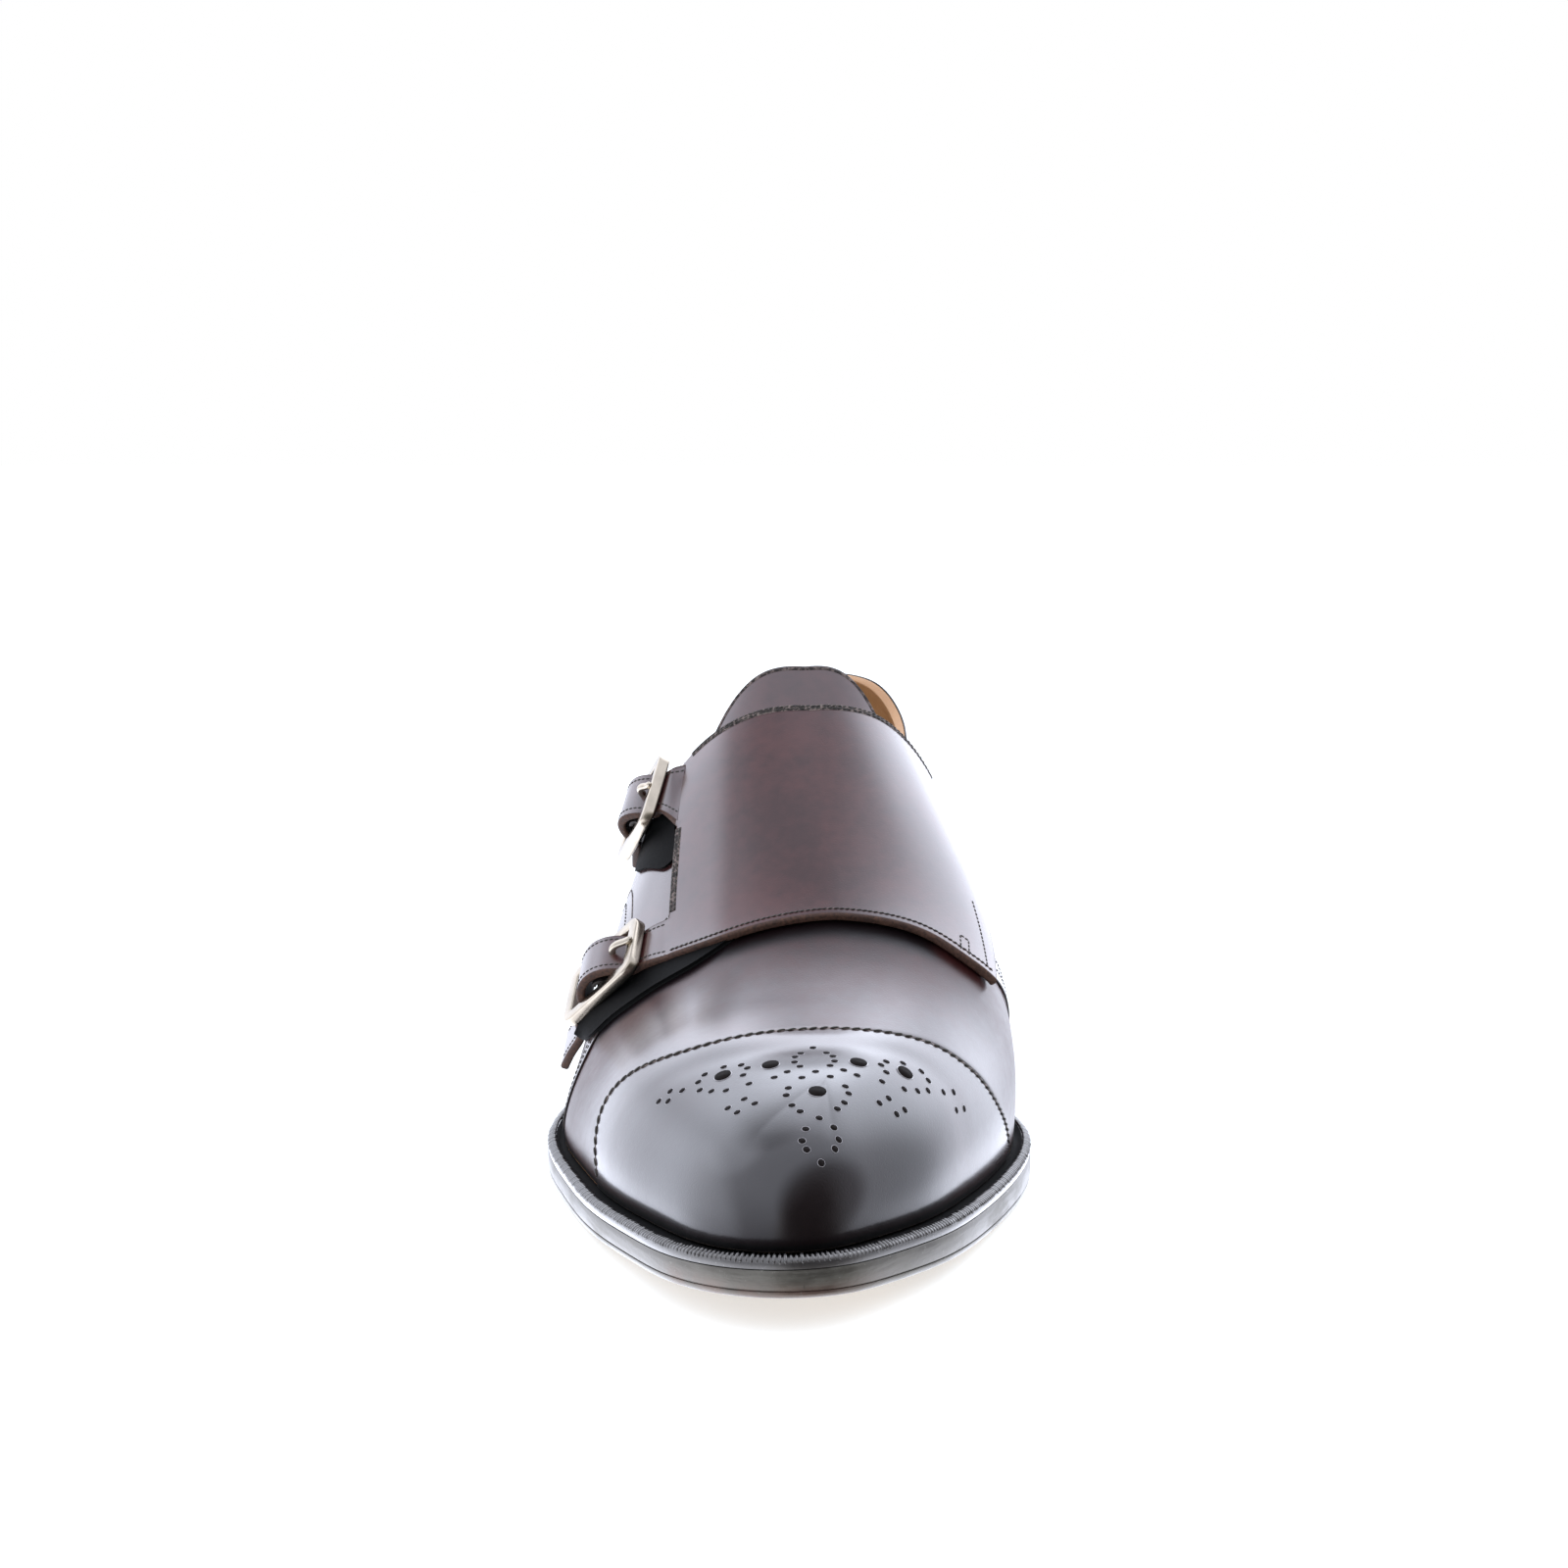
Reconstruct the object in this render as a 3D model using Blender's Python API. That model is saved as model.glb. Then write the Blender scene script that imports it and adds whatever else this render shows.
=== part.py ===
"""Double monk strap shoe for the right foot, built as its maker would cut and assemble it.

The frame: the toe points to -Y, the heel to +Y, +X is the medial side, +Z is up, and the shoe stands on
z = 0. Lengths along the shoe are measured from the toe tip of the outsole. All sizes are in metres; the
tables are written in millimetres and scaled once when they are read.
"""

import math

import bpy
import numpy as np

MM = 0.001

# Driving sizes of the shoe.
LENGTH = 300 * MM
TOE_SPRING = 7.5 * MM
TOE_SPRING_POWER = 1.7
TREAD_START = 97 * MM
TREAD_END = 125 * MM
BREAST = 222 * MM
BREAST_HEIGHT = 17.8 * MM
BREAST_SLOPE = 0.12
SEAT_BACK_HEIGHT = 23.4 * MM
SEAT_BACK_SLOPE = 0.03
OUTSOLE_THICKNESS = 5.8 * MM
WELT_THICKNESS = 2.3 * MM
WALL = 2.4 * MM
CAP_THICKNESS = 1.2 * MM
GAP = 0.3 * MM
EDGE_ROUND = 0.8 * MM
EDGE_HEIGHT = 1.2 * MM
INSOLE_THICKNESS = 3.8 * MM
TOP_PIECE_HEIGHT = 5.7 * MM
HEEL_TAPER = 2.5 * MM
FLAP_THICKNESS = 2.0 * MM
FLAP_LIFT = 0.5 * MM
TONGUE_THICKNESS = 2.0 * MM
STRAP_WIDTH = 11.0 * MM
BAR_RADIUS = 1.1 * MM
PRONG_RADIUS = 0.8 * MM
CENTRE_BAR_SHARE = 0.9
FRAME_CORNER = 2.6 * MM
STRAP_PLAY = 0.4 * MM
HOLE_PLAY = 0.5 * MM
LOOP_WIDTH = 8.0 * MM
LOOP_THICKNESS = 1.0 * MM
LATERAL, MEDIAL = -1, 1

# A small step of a station number, for directions along the surface.
STEP = 1e-4

# Plan outline of the outsole: along the shoe, then x of the lateral and of the medial edge.
OUTLINE_MM = (
    # along, lateral, medial
    (0, 0.0, 0.0),
    (5, -14.0, 13.3),
    (16, -23.5, 22.8),
    (32, -31.4, 33.2),
    (54, -40.7, 42.4),
    (80, -48.4, 50.6),
    (106, -53.8, 54.2),
    (135, -50.8, 47.5),
    (165, -42.5, 36.0),
    (195, -33.5, 32.5),
    (225, -28.0, 35.5),
    (255, -26.0, 40.0),
    (280, -22.5, 36.5),
    (294, -12.0, 26.0),
    (300, 7.0, 7.0),
)

# Welt margin: how far the foot of the upper stands inside the outline.
MARGIN_MM = ((0, 7.0), (30, 5.8), (60, 4.9), (105, 3.8), (150, 3.0), (220, 2.4), (300, 2.2))

# The last, station by station. Each station runs from the outline up to the spine on both sides.
LAST_MM = (
    # along, spine along, spine x, spine z, lateral fullness, medial fullness, lateral swell, medial swell
    (0, 34, 8.0, 39.8, 2.30, 2.30, 0.0, 0.0),
    (16, 39, 8.5, 40.8, 2.35, 2.40, 0.0, 0.0),
    (36, 50, 9.5, 42.2, 2.45, 2.60, 0.3, 0.3),
    (62, 67, 10.0, 44.2, 2.50, 2.85, 0.6, 0.6),
    (86, 90, 11.5, 48.5, 1.95, 2.80, 0.4, 0.8),
    (110, 112, 12.0, 57.5, 1.65, 2.75, 0.2, 1.5),
    (130, 130, 10.0, 69.0, 1.80, 2.90, 0.8, 4.0),
    (150, 149, 7.0, 83.0, 2.20, 2.90, 1.0, 7.0),
    (170, 167, 4.5, 96.0, 2.40, 2.80, 1.0, 8.0),
    (195, 190, 3.5, 107.0, 2.30, 2.40, 1.0, 5.5),
    (225, 222, 5.0, 105.0, 2.10, 2.10, 1.0, 2.0),
    (255, 252, 6.5, 102.0, 2.00, 2.00, 1.0, 1.0),
    (280, 274, 7.0, 102.0, 2.00, 2.00, 1.5, 1.5),
    (300, 285, 7.0, 102.0, 2.00, 2.00, 2.0, 2.0),
)


def spline(knots, values, level_ends=False):
    """A cubic spline through the knots, as a function of an array. Its ends are free or have no slope."""
    knots = np.asarray(knots, float)
    values = np.asarray(values, float)
    step = np.diff(knots)
    slope = np.diff(values) / step
    count = len(knots)
    matrix = np.eye(count)
    right = np.zeros(count)
    for i in range(1, count - 1):
        matrix[i, i - 1] = step[i - 1]
        matrix[i, i] = 2 * (step[i - 1] + step[i])
        matrix[i, i + 1] = step[i]
        right[i] = 6 * (slope[i] - slope[i - 1])
    if level_ends:
        matrix[0, :2] = 2 * step[0], step[0]
        matrix[-1, -2:] = step[-1], 2 * step[-1]
        right[0] = 6 * slope[0]
        right[-1] = -6 * slope[-1]
    bend = np.linalg.solve(matrix, right)

    def curve(at):
        at = np.asarray(at, float)
        i = np.clip(np.searchsorted(knots, at) - 1, 0, count - 2)
        left = at - knots[i]
        right_side = knots[i + 1] - at
        return (
            (bend[i] * right_side**3 + bend[i + 1] * left**3) / (6 * step[i])
            + (values[i] / step[i] - bend[i] * step[i] / 6) * right_side
            + (values[i + 1] / step[i] - bend[i + 1] * step[i] / 6) * left
        )

    return curve


def turn(along):
    """Station number from 0 at the toe tip to 1 at the heel's back. It is even in angle, so both ends are round."""
    return np.arccos(np.clip(1 - 2 * np.asarray(along, float) / LENGTH, -1, 1)) / math.pi


def along_of(u):
    return LENGTH * (1 - np.cos(math.pi * np.asarray(u, float))) / 2


def columns(rows, level_ends=False):
    """A spline over station numbers for each column after the first, which holds places along the shoe."""
    table = np.array(rows, float)
    knots = turn(table[:, 0] * MM)
    return [spline(knots, table[:, i], level_ends) for i in range(1, table.shape[1])]


# What both sides share has no slope at the toe and the heel, so the surface has no ridge there.
OUTLINE = columns(OUTLINE_MM)
MARGIN = columns(MARGIN_MM, level_ends=True)[0]
LAST = columns(LAST_MM, level_ends=True)


def hermite(s, z0, slope0, z1, slope1, run):
    return (
        z0 * (1 + 2 * s) * (1 - s) ** 2
        + slope0 * run * s * (1 - s) ** 2
        + z1 * s * s * (3 - 2 * s)
        + slope1 * run * s * s * (s - 1)
    )


def sole_bottom(along):
    """Height of the outsole's under side: toe spring, flat tread, waist and heel seat."""
    along = np.asarray(along, float)
    toe = TOE_SPRING * np.clip(1 - along / TREAD_START, 0, 1) ** TOE_SPRING_POWER
    waist_run = BREAST - TREAD_END
    s = np.clip((along - TREAD_END) / waist_run, 0, 1)
    waist = hermite(s, 0, 0, BREAST_HEIGHT, BREAST_SLOPE, waist_run)
    seat_run = LENGTH - BREAST
    s = np.clip((along - BREAST) / seat_run, 0, 1)
    seat = hermite(s, BREAST_HEIGHT, BREAST_SLOPE, SEAT_BACK_HEIGHT, SEAT_BACK_SLOPE, seat_run)
    return np.where(along < TREAD_END, toe, np.where(along < BREAST, waist, seat))


# The medial edge of the forepart is a little thicker than the lateral one.
MEDIAL_LIFT = 0.012
LIFT_END = 170 * MM


def sole_top(along, x):
    fade = np.clip((LIFT_END - np.asarray(along, float)) / (LIFT_END - TREAD_START), 0, 1)
    return sole_bottom(along) + OUTSOLE_THICKNESS + MEDIAL_LIFT * fade * x


def welt_top(along, x):
    return sole_top(along, x) + GAP + WELT_THICKNESS


def outline(u, side):
    """Plan point (x, along) of the outsole's edge."""
    x = OUTLINE[0 if side == LATERAL else 1](u) * MM
    return np.stack([x, along_of(u)], -1)


def inset(u, side, distance):
    """The outline's plan point moved inwards by a distance, square to the edge."""
    # Past either end the outline goes on along the other side, so the ends stay square to the edge.
    before = np.asarray(u) - STEP
    after = np.asarray(u) + STEP
    first = np.where((before < 0)[..., None], outline(np.abs(before), -side), outline(before, side))
    folded = np.where(after > 1, 2 - after, after)
    second = np.where((after > 1)[..., None], outline(folded, -side), outline(after, side))
    tangent = second - first
    tangent /= np.linalg.norm(tangent, axis=-1, keepdims=True)
    # Walking from toe to heel the inside is on +x along the lateral edge, and on -x along the medial one.
    inward = np.stack([tangent[..., 1], -tangent[..., 0]], -1) * -side
    return outline(u, side) + inward * np.asarray(distance)[..., None]


# The spine's slope is taken over this step, and the wall takes it up only close to the spine.
RIDGE_STEP = 0.03
TILT_POWER = 5


def ridge_slope(u):
    """Slope of the spine where station u meets it. It stays as it is close to either end."""
    u = np.clip(u, 3 * RIDGE_STEP, 1 - 3 * RIDGE_STEP)
    run = LAST[0](u + RIDGE_STEP) - LAST[0](u - RIDGE_STEP)
    return (LAST[2](u + RIDGE_STEP) - LAST[2](u - RIDGE_STEP)) / run


def last_point(u, side, rise):
    """Point of the last at station u, on one side, with rise 0 at the foot of the wall and 1 at the spine."""
    u = np.asarray(u, float)
    rise = np.asarray(rise, float)
    u, rise = np.broadcast_arrays(u, rise)
    spine_along, spine_x, spine_z = LAST[0](u) * MM, LAST[1](u) * MM, LAST[2](u) * MM
    full = LAST[3 if side == LATERAL else 4](u)
    swell = LAST[5 if side == LATERAL else 6](u) * MM
    foot = inset(u, side, MARGIN(u) * MM)
    foot_z = welt_top(foot[..., 1], foot[..., 0]) + GAP
    angle = rise * math.pi / 2
    inward = 1 - np.cos(angle) ** (2 / full)
    upward = np.sin(angle) ** (2 / full)
    spine = np.stack([spine_x, spine_along], -1)
    reach = spine - foot
    length = np.linalg.norm(reach, axis=-1, keepdims=True)
    bulge = swell * 4 * upward * (1 - upward)
    plan = foot + reach * inward[..., None] - reach / length * bulge[..., None]
    z = foot_z + (spine_z - foot_z) * upward
    # Near the spine the wall leans with the ridge's own slope.
    z = z + ridge_slope(u) * (plan[..., 1] - spine_along) * upward**TILT_POWER
    return np.concatenate([plan, z[..., None]], -1)


def last_normal(u, side, rise):
    """Outward unit normal of the last."""
    u, rise = np.broadcast_arrays(np.asarray(u, float), np.asarray(rise, float))
    before = last_point(np.maximum(u - STEP, 0), side, rise)
    forward = last_point(np.minimum(u + STEP, 1), side, rise) - before
    low = np.maximum(rise - 5 * STEP, 0)
    high = np.minimum(rise + 5 * STEP, 1)
    up = last_point(u, side, high) - last_point(u, side, low)
    normal = np.cross(forward, up) * side
    return normal / np.linalg.norm(normal, axis=-1, keepdims=True)


def skin(u, side, rise, offset):
    """Point at a distance outside the last's surface, in (x, along, z)."""
    return last_point(u, side, rise) + last_normal(u, side, rise) * np.asarray(offset, float)[..., None]


def rise_at(u, side, z):
    """How far up the wall the last reaches a height."""
    foot = inset(u, side, MARGIN(u) * MM)
    foot_z = welt_top(foot[..., 1], foot[..., 0]) + GAP
    share = np.clip((z - foot_z) / (LAST[2](u) * MM - foot_z), 0, 1)
    full = LAST[3 if side == LATERAL else 4](u)
    return np.arcsin(share ** (full / 2)) * 2 / math.pi


def table_of(rows):
    """A spline for each column after the first, over the first column as it stands."""
    table = np.array(rows, float)
    return [spline(table[:, 0], table[:, i]) for i in range(1, table.shape[1])]


# Where the toe cap ends: the station for each rise up the wall.
CAP_LINE = table_of((
    # rise, lateral along, medial along
    (0.00, 64.0, 87.0),
    (0.15, 67.5, 76.0),
    (0.30, 69.0, 69.5),
    (0.45, 64.5, 65.0),
    (0.60, 59.0, 62.0),
    (0.80, 56.7, 58.3),
    (1.00, 55.8, 55.8),
))

# Height of the upper's free edge, down both sides of the throat and round the collar.
TOPLINE = table_of((
    # along, lateral height, medial height
    (118, 58.0, 58.0),
    (126, 61.0, 61.0),
    (140, 69.0, 69.0),
    (155, 77.0, 77.5),
    (166, 81.5, 82.5),
    (172, 81.0, 82.0),
    (184, 76.5, 77.0),
    (200, 71.5, 72.0),
    (217, 69.5, 69.5),
    (232, 72.0, 72.0),
    (247, 76.5, 76.5),
    (260, 79.5, 79.5),
    (272, 83.0, 83.0),
    (285, 86.5, 86.5),
    (300, 88.5, 88.5),
))
THROAT = 114 * MM

# The tongue, from its foot to its tip: how far it stands off the last, and half its width up the wall.
TONGUE = table_of((
    # along, offset, half width
    (106, -4.3, 0.22),
    (130, -3.8, 0.36),
    (150, -3.5, 0.38),
    (160, -3.0, 0.36),
    (168, -1.2, 0.33),
    (175, 1.8, 0.30),
    (181, 4.6, 0.28),
))
TONGUE_FOOT, TONGUE_TIP, TONGUE_CORNER = 106 * MM, 181 * MM, 11 * MM

# The flap's front and top edges, as stations, by rise up the wall on each side.
FLAP_MEDIAL = table_of((
    # rise, front along, top along
    (0.44, 104.5, 172.0),
    (0.61, 102.5, 171.0),
    (0.77, 104.3, 169.8),
    (0.87, 105.2, 168.8),
    (1.00, 106.0, 168.3),
))
FLAP_LATERAL = table_of((
    # rise, front along, top along
    (0.54, 115.0, 164.5),
    (0.62, 111.6, 166.0),
    (0.74, 109.0, 167.2),
    (0.87, 107.2, 168.0),
    (1.00, 106.0, 168.3),
))
FLAP_MEDIAL_END = 0.44

# The flap's cut edge on the lateral side: the rise it reaches at each station. Its rows start and end here.
FLAP_EDGE_FRONT, FLAP_EDGE_BACK = 115, 165
FLAP_EDGE = table_of((
    # along, rise
    (106, 0.55),
    (118, 0.55),
    (128, 0.555),
    (140, 0.58),
    (154, 0.605),
    (170, 0.60),
))[0]

# A strap's under side along its buckle: share of the half length, and height over the frame.
STRAP_PATH_MM = (
    # share, height
    (-1.0, -3.6),
    (-0.8, -3.1),
    (-0.4, 1.2),
    (0.0, 3.0),
    (0.4, 1.2),
    (0.8, -3.1),
    (1.0, -3.6),
)

# Each buckle: its frame's outer corners (near bar front, near bar back, far bar front), its length, and the
# rows of the flap that run into its strap.
BUCKLES = {
    "lower": {
        "near_front": (-35.6, 116.5, 43.8),
        "near_back": (-34.6, 129.0, 50.8),
        "far_front": (-50.4, 126.2, 28.5),
        "length": 20 * MM,
        "rows": (0, 3),
        "tail": ((1.45, -5.8), (2.0, -8.8)),
    },
    "upper": {
        "near_front": (-33.7, 152.0, 71.9),
        "near_back": (-30.3, 163.0, 83.3),
        "far_front": (-40.2, 166.5, 59.8),
        "length": 18 * MM,
        "rows": (8, 12),
        "tail": ((1.35, -4.1), (1.7, -5.0)),
    },
}

# The prong, from its eye behind the strap's hole to its point: place from the centre bar, and height.
PRONG_MM = ((-2.2, 2.95), (-2.4, 4.6), (-3.0, 5.5), (-4.2, 5.4), (-6.5, 4.0))
PRONG_TIP = 1.4 * MM
PRONG_DROP = 0.1 * MM
HOLE_MM = ((-2.3, 0.8), (-2.3, 8.0))

# The strap loop goes round the centre bar through these angles, then back under the strap.
LOOP_ANGLES = (60, 270)
LOOP_TAIL_MM = ((3.2, -1.9), (5.8, -2.5))

# How finely each piece is faceted. The upper's grid lines follow the cap's end, and settle to even steps
# by the vamp.
CAP_STATIONS = 11
SETTLE_STATIONS = 6
SETTLED_ALONG = 102 * MM
BODY_STATIONS = 36
WALL_ROWS = 11
SOLE_STATIONS = 40
HEEL_STATIONS = 20
TONGUE_ROWS = 14
TONGUE_COLUMNS = 13
FRAME_CORNER_STEPS = 5
LOOP_STEPS = 9
FLAP_ROWS = 12
FLAP_MEDIAL_COLUMNS = 10
FLAP_LATERAL_COLUMNS = 7
STRAP_COLUMNS = 14
TUBE_SIDES = 10


def world(points):
    """Points (x, along, z) moved to the shoe's own frame, whose origin is under the middle of its length."""
    return np.asarray(points, float) - np.array([0, LENGTH / 2, 0])


def material(name, colour, roughness, metallic=0.0):
    made = bpy.data.materials.new(name)
    made.use_nodes = True
    shader = made.node_tree.nodes["Principled BSDF"]
    shader.inputs["Base Color"].default_value = (*colour, 1)
    shader.inputs["Roughness"].default_value = roughness
    shader.inputs["Metallic"].default_value = metallic
    made.diffuse_color = (*colour, 1)
    return made


def add_object(name, points, faces, look):
    mesh = bpy.data.meshes.new(name)
    mesh.from_pydata([tuple(point) for point in world(points)], [], [tuple(face) for face in faces])
    mesh.validate()
    mesh.shade_smooth()
    mesh.set_sharp_from_angle(angle=math.radians(40))
    made = bpy.data.objects.new(name, mesh)
    bpy.context.scene.collection.objects.link(made)
    made.data.materials.append(look)
    return made


def merged(points):
    """The different points of a list, and for each point of the list its number among them."""
    keys = np.round(np.asarray(points) / 1e-7).astype(np.int64)
    _, first, index = np.unique(keys, axis=0, return_index=True, return_inverse=True)
    return points[first], index.reshape(-1)


def lattice_quads(rows, columns_count, start=0):
    """Quads of a grid of points stored row by row."""
    quads = []
    for i in range(rows - 1):
        for j in range(columns_count - 1):
            a = start + i * columns_count + j
            quads.append((a, a + 1, a + 1 + columns_count, a + columns_count))
    return quads


def cleaned(quads, index):
    """The quads over merged points, without repeated corners."""
    faces = []
    for quad in quads:
        face = []
        for corner in quad:
            if index[corner] not in face:
                face.append(int(index[corner]))
        if len(face) > 2:
            faces.append(face)
    return faces


def open_edges(faces):
    """Directed edges that only one face has."""
    directed = {(face[i - 1], face[i]) for face in faces for i in range(len(face))}
    return [edge for edge in directed if edge[::-1] not in directed]


def vertex_normals(points, faces):
    normals = np.zeros_like(points)
    for face in faces:
        corners = points[face]
        turned = np.cross(corners[2] - corners[0], corners[-1] - corners[1])
        for corner in face:
            normals[corner] += turned
    return normals / np.linalg.norm(normals, axis=1, keepdims=True)


def sheet(name, outer, inner, faces, look):
    """A closed sheet between two matched surfaces, walled along its free edges."""
    count = len(outer)
    sides = list(faces)
    sides += [[corner + count for corner in reversed(face)] for face in faces]
    sides += [(b, a, a + count, b + count) for a, b in open_edges(faces)]
    return add_object(name, np.concatenate([outer, inner]), sides, look)


def loop(distance, first=0.0, last=1.0, count=SOLE_STATIONS):
    """Plan points inside the outline, from the back along the lateral side, round the toe and back again."""
    u = np.linspace(first, last, count + 1)
    inwards = np.full_like(u, distance) if np.isscalar(distance) else distance(u)
    return inset(u, LATERAL, inwards), inset(u, MEDIAL, inwards)


def raised(plan, height):
    """A plan loop with a height for each of its points."""
    z = height(plan[:, 1], plan[:, 0])
    return np.column_stack([plan, z + 0 * plan[:, 0]])


def slab(name, layers, look):
    """A solid from loops stacked upwards, closed by flat strips below and above."""
    count = len(layers[0][0][0])
    points = np.concatenate([raised(side, height) for pair, height in layers for side in pair])
    quads = []
    size = 2 * count
    for level in range(len(layers) - 1):
        low = level * size
        high = low + size
        for i in range(count - 1):
            quads.append((low + i + 1, low + i, high + i, high + i + 1))
            a, b = low + count + i, high + count + i
            quads.append((a, a + 1, b + 1, b))
        quads.append((low, low + count, high + count, high))
        quads.append((low + size - 1, low + count - 1, high + count - 1, high + size - 1))
    top = (len(layers) - 1) * size
    for i in range(count - 1):
        quads.append((i, i + 1, count + i + 1, count + i))
        quads.append((top + i, top + count + i, top + count + i + 1, top + i + 1))
    points, index = merged(points)
    return add_object(name, points, cleaned(quads, index), look)


def ring(name, outside, inside, low, high, look):
    """A flat rim between two matched loops."""
    layers = [(pair, height) for pair in (outside, inside) for height in (low, high)]
    points = np.concatenate([raised(side, height) for pair, height in layers for side in pair])
    count = len(outside[0])
    size = 2 * count
    quads = []
    for turn_sign, start in ((1, 0), (-1, count)):
        for i in range(count - 1):
            a, b = (start + i, start + i + 1) if turn_sign > 0 else (start + i + 1, start + i)
            for near, far in ((0, size), (size, 3 * size), (3 * size, 2 * size), (2 * size, 0)):
                quads.append((b + near, a + near, a + far, b + far))
    points, index = merged(points)
    return add_object(name, points, cleaned(quads, index), look)


def foot_margin(u):
    return MARGIN(u) * MM


def wall_margin(u):
    return foot_margin(u) + WALL


def insole_margin(u):
    return wall_margin(u) + 2 * GAP


def make_sole(looks):
    low_edge = loop(EDGE_ROUND)
    edge = loop(0.0)
    layers = (
        (low_edge, lambda along, x: sole_bottom(along)),
        (edge, lambda along, x: sole_bottom(along) + EDGE_HEIGHT),
        (edge, sole_top),
    )
    slab("outsole", layers, looks["sole"])

    def welt_bottom(along, x):
        return sole_top(along, x) + GAP

    ring("welt", loop(GAP), loop(wall_margin), welt_bottom, welt_top, looks["sole"])
    inside = loop(insole_margin)

    def insole_top(along, x):
        return welt_bottom(along, x) + INSOLE_THICKNESS

    slab("insole", ((inside, welt_bottom), (inside, insole_top)), looks["lining"])


def make_heel(looks):
    breast = float(turn(BREAST))

    def block(name, low, high, low_inset, high_inset, look):
        bottom = loop(low_inset, first=breast, count=HEEL_STATIONS)
        top = loop(high_inset, first=breast, count=HEEL_STATIONS)
        slab(name, ((bottom, low), (top, high)), look)

    block(
        "heel_stack",
        lambda along, x: TOP_PIECE_HEIGHT + GAP,
        lambda along, x: sole_bottom(along) - GAP,
        HEEL_TAPER,
        EDGE_ROUND,
        looks["sole"],
    )
    block(
        "heel_top_piece",
        lambda along, x: 0 * along,
        lambda along, x: TOP_PIECE_HEIGHT + 0 * along,
        HEEL_TAPER,
        HEEL_TAPER,
        looks["rubber"],
    )


def wall_station(k, side, rise):
    """Station number of the upper's grid line k at a rise. Grid line CAP_STATIONS follows the end of the toe cap."""
    cap = turn(CAP_LINE[0 if side == LATERAL else 1](rise) * MM)
    past_cap = cap + CAP_THICKNESS / LENGTH
    body = float(turn(SETTLED_ALONG))
    even = (k - CAP_STATIONS - 1) / BODY_STATIONS
    settle = SETTLE_STATIONS / BODY_STATIONS
    if k <= CAP_STATIONS:
        return cap * k / CAP_STATIONS
    if even <= settle:
        return past_cap + (body - past_cap) * even / settle
    return body + (1 - body) * (even - settle) / (1 - settle) + 0 * rise


def wall_top(k, side):
    """The highest rise of grid line k: 1 in front of the throat, and the free edge behind it."""
    u = float(wall_station(k, side, np.array(1.0)))
    along = float(along_of(u))
    if along < THROAT:
        return 1.0
    height = TOPLINE[0 if side == LATERAL else 1](along / MM) * MM
    return float(rise_at(np.array(u), side, height))


def upper_grid():
    """The last's outer surface as merged points and faces, with each point's grid line."""
    lines = CAP_STATIONS + 1 + BODY_STATIONS + 1
    points, line_numbers, quads = [], [], []
    for side in (LATERAL, MEDIAL):
        start = len(points)
        for k in range(lines):
            rise = np.linspace(0, 1, WALL_ROWS + 1) * wall_top(k, side)
            points.extend(last_point(wall_station(k, side, rise), side, rise))
            line_numbers.extend([k] * (WALL_ROWS + 1))
        patch = lattice_quads(lines, WALL_ROWS + 1, start)
        quads += patch if side == LATERAL else [quad[::-1] for quad in patch]
    joined, index = merged(np.array(points))
    lines_of = np.zeros(len(joined), int)
    lines_of[index] = line_numbers
    foot = np.zeros(len(joined), bool)
    foot[index[[i for i in range(len(points)) if i % (WALL_ROWS + 1) == 0]]] = True
    return joined, cleaned(quads, index), lines_of, foot


def make_upper(looks):
    points, faces, line, foot = upper_grid()
    normals = vertex_normals(points, faces)
    level = normals * np.array([1, 1, 0])
    level /= np.linalg.norm(level, axis=1, keepdims=True)
    normals[foot] = level[foot]
    under_cap = (line <= CAP_STATIONS)[:, None]
    outer = points - normals * CAP_THICKNESS * under_cap
    inner = points - normals * WALL
    sheet("upper", outer, inner, faces, looks["leather"])
    cap_faces = [face for face in faces if all(line[corner] <= CAP_STATIONS for corner in face)]
    used = sorted({corner for face in cap_faces for corner in face})
    number = {corner: i for i, corner in enumerate(used)}
    cap_faces = [[number[corner] for corner in face] for face in cap_faces]
    cap_points = points[used] - np.outer(line[used] == CAP_STATIONS, [0, GAP, 0])
    cap_inner = cap_points - normals[used] * (CAP_THICKNESS - GAP)
    sheet("toe_cap", cap_points + normals[used] * GAP, cap_inner, cap_faces, looks["leather"])


def tongue_sheet_point(v, w, offset):
    """Point of the tongue: v from its foot to its tip, w from -1 at the lateral edge to 1 at the medial one."""
    tip = TONGUE_TIP - TONGUE_CORNER * abs(w) ** 3
    along = TONGUE_FOOT + (tip - TONGUE_FOOT) * v
    side = LATERAL if w < 0 else MEDIAL
    rise = 1 - abs(w) * TONGUE[1](along / MM)
    return skin(turn(along), side, rise, TONGUE[0](along / MM) * MM + offset)


def make_tongue(looks):
    outer, inner = [], []
    for v in np.linspace(0, 1, TONGUE_ROWS):
        for w in np.linspace(-1, 1, TONGUE_COLUMNS):
            outer.append(tongue_sheet_point(v, w, 0.0))
            inner.append(tongue_sheet_point(v, w, -TONGUE_THICKNESS))
    faces = lattice_quads(TONGUE_ROWS, TONGUE_COLUMNS)
    sheet("tongue", np.array(outer), np.array(inner), faces, looks["leather"])


def unit(vector):
    return vector / np.linalg.norm(vector)


def buckle_frame(buckle):
    """Centre of the frame and its directions: along the strap, across it and outwards."""
    front = np.array(buckle["near_front"]) * MM
    back = np.array(buckle["near_back"]) * MM
    far = np.array(buckle["far_front"]) * MM
    across = unit(back - front)
    along = far - front
    along = unit(along - across * (along @ across))
    outward = np.cross(across, along)
    outward *= -np.sign(outward[0])
    centre = (front + back) / 2 + along * buckle["length"] / 2
    return centre, along, across, outward


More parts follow.
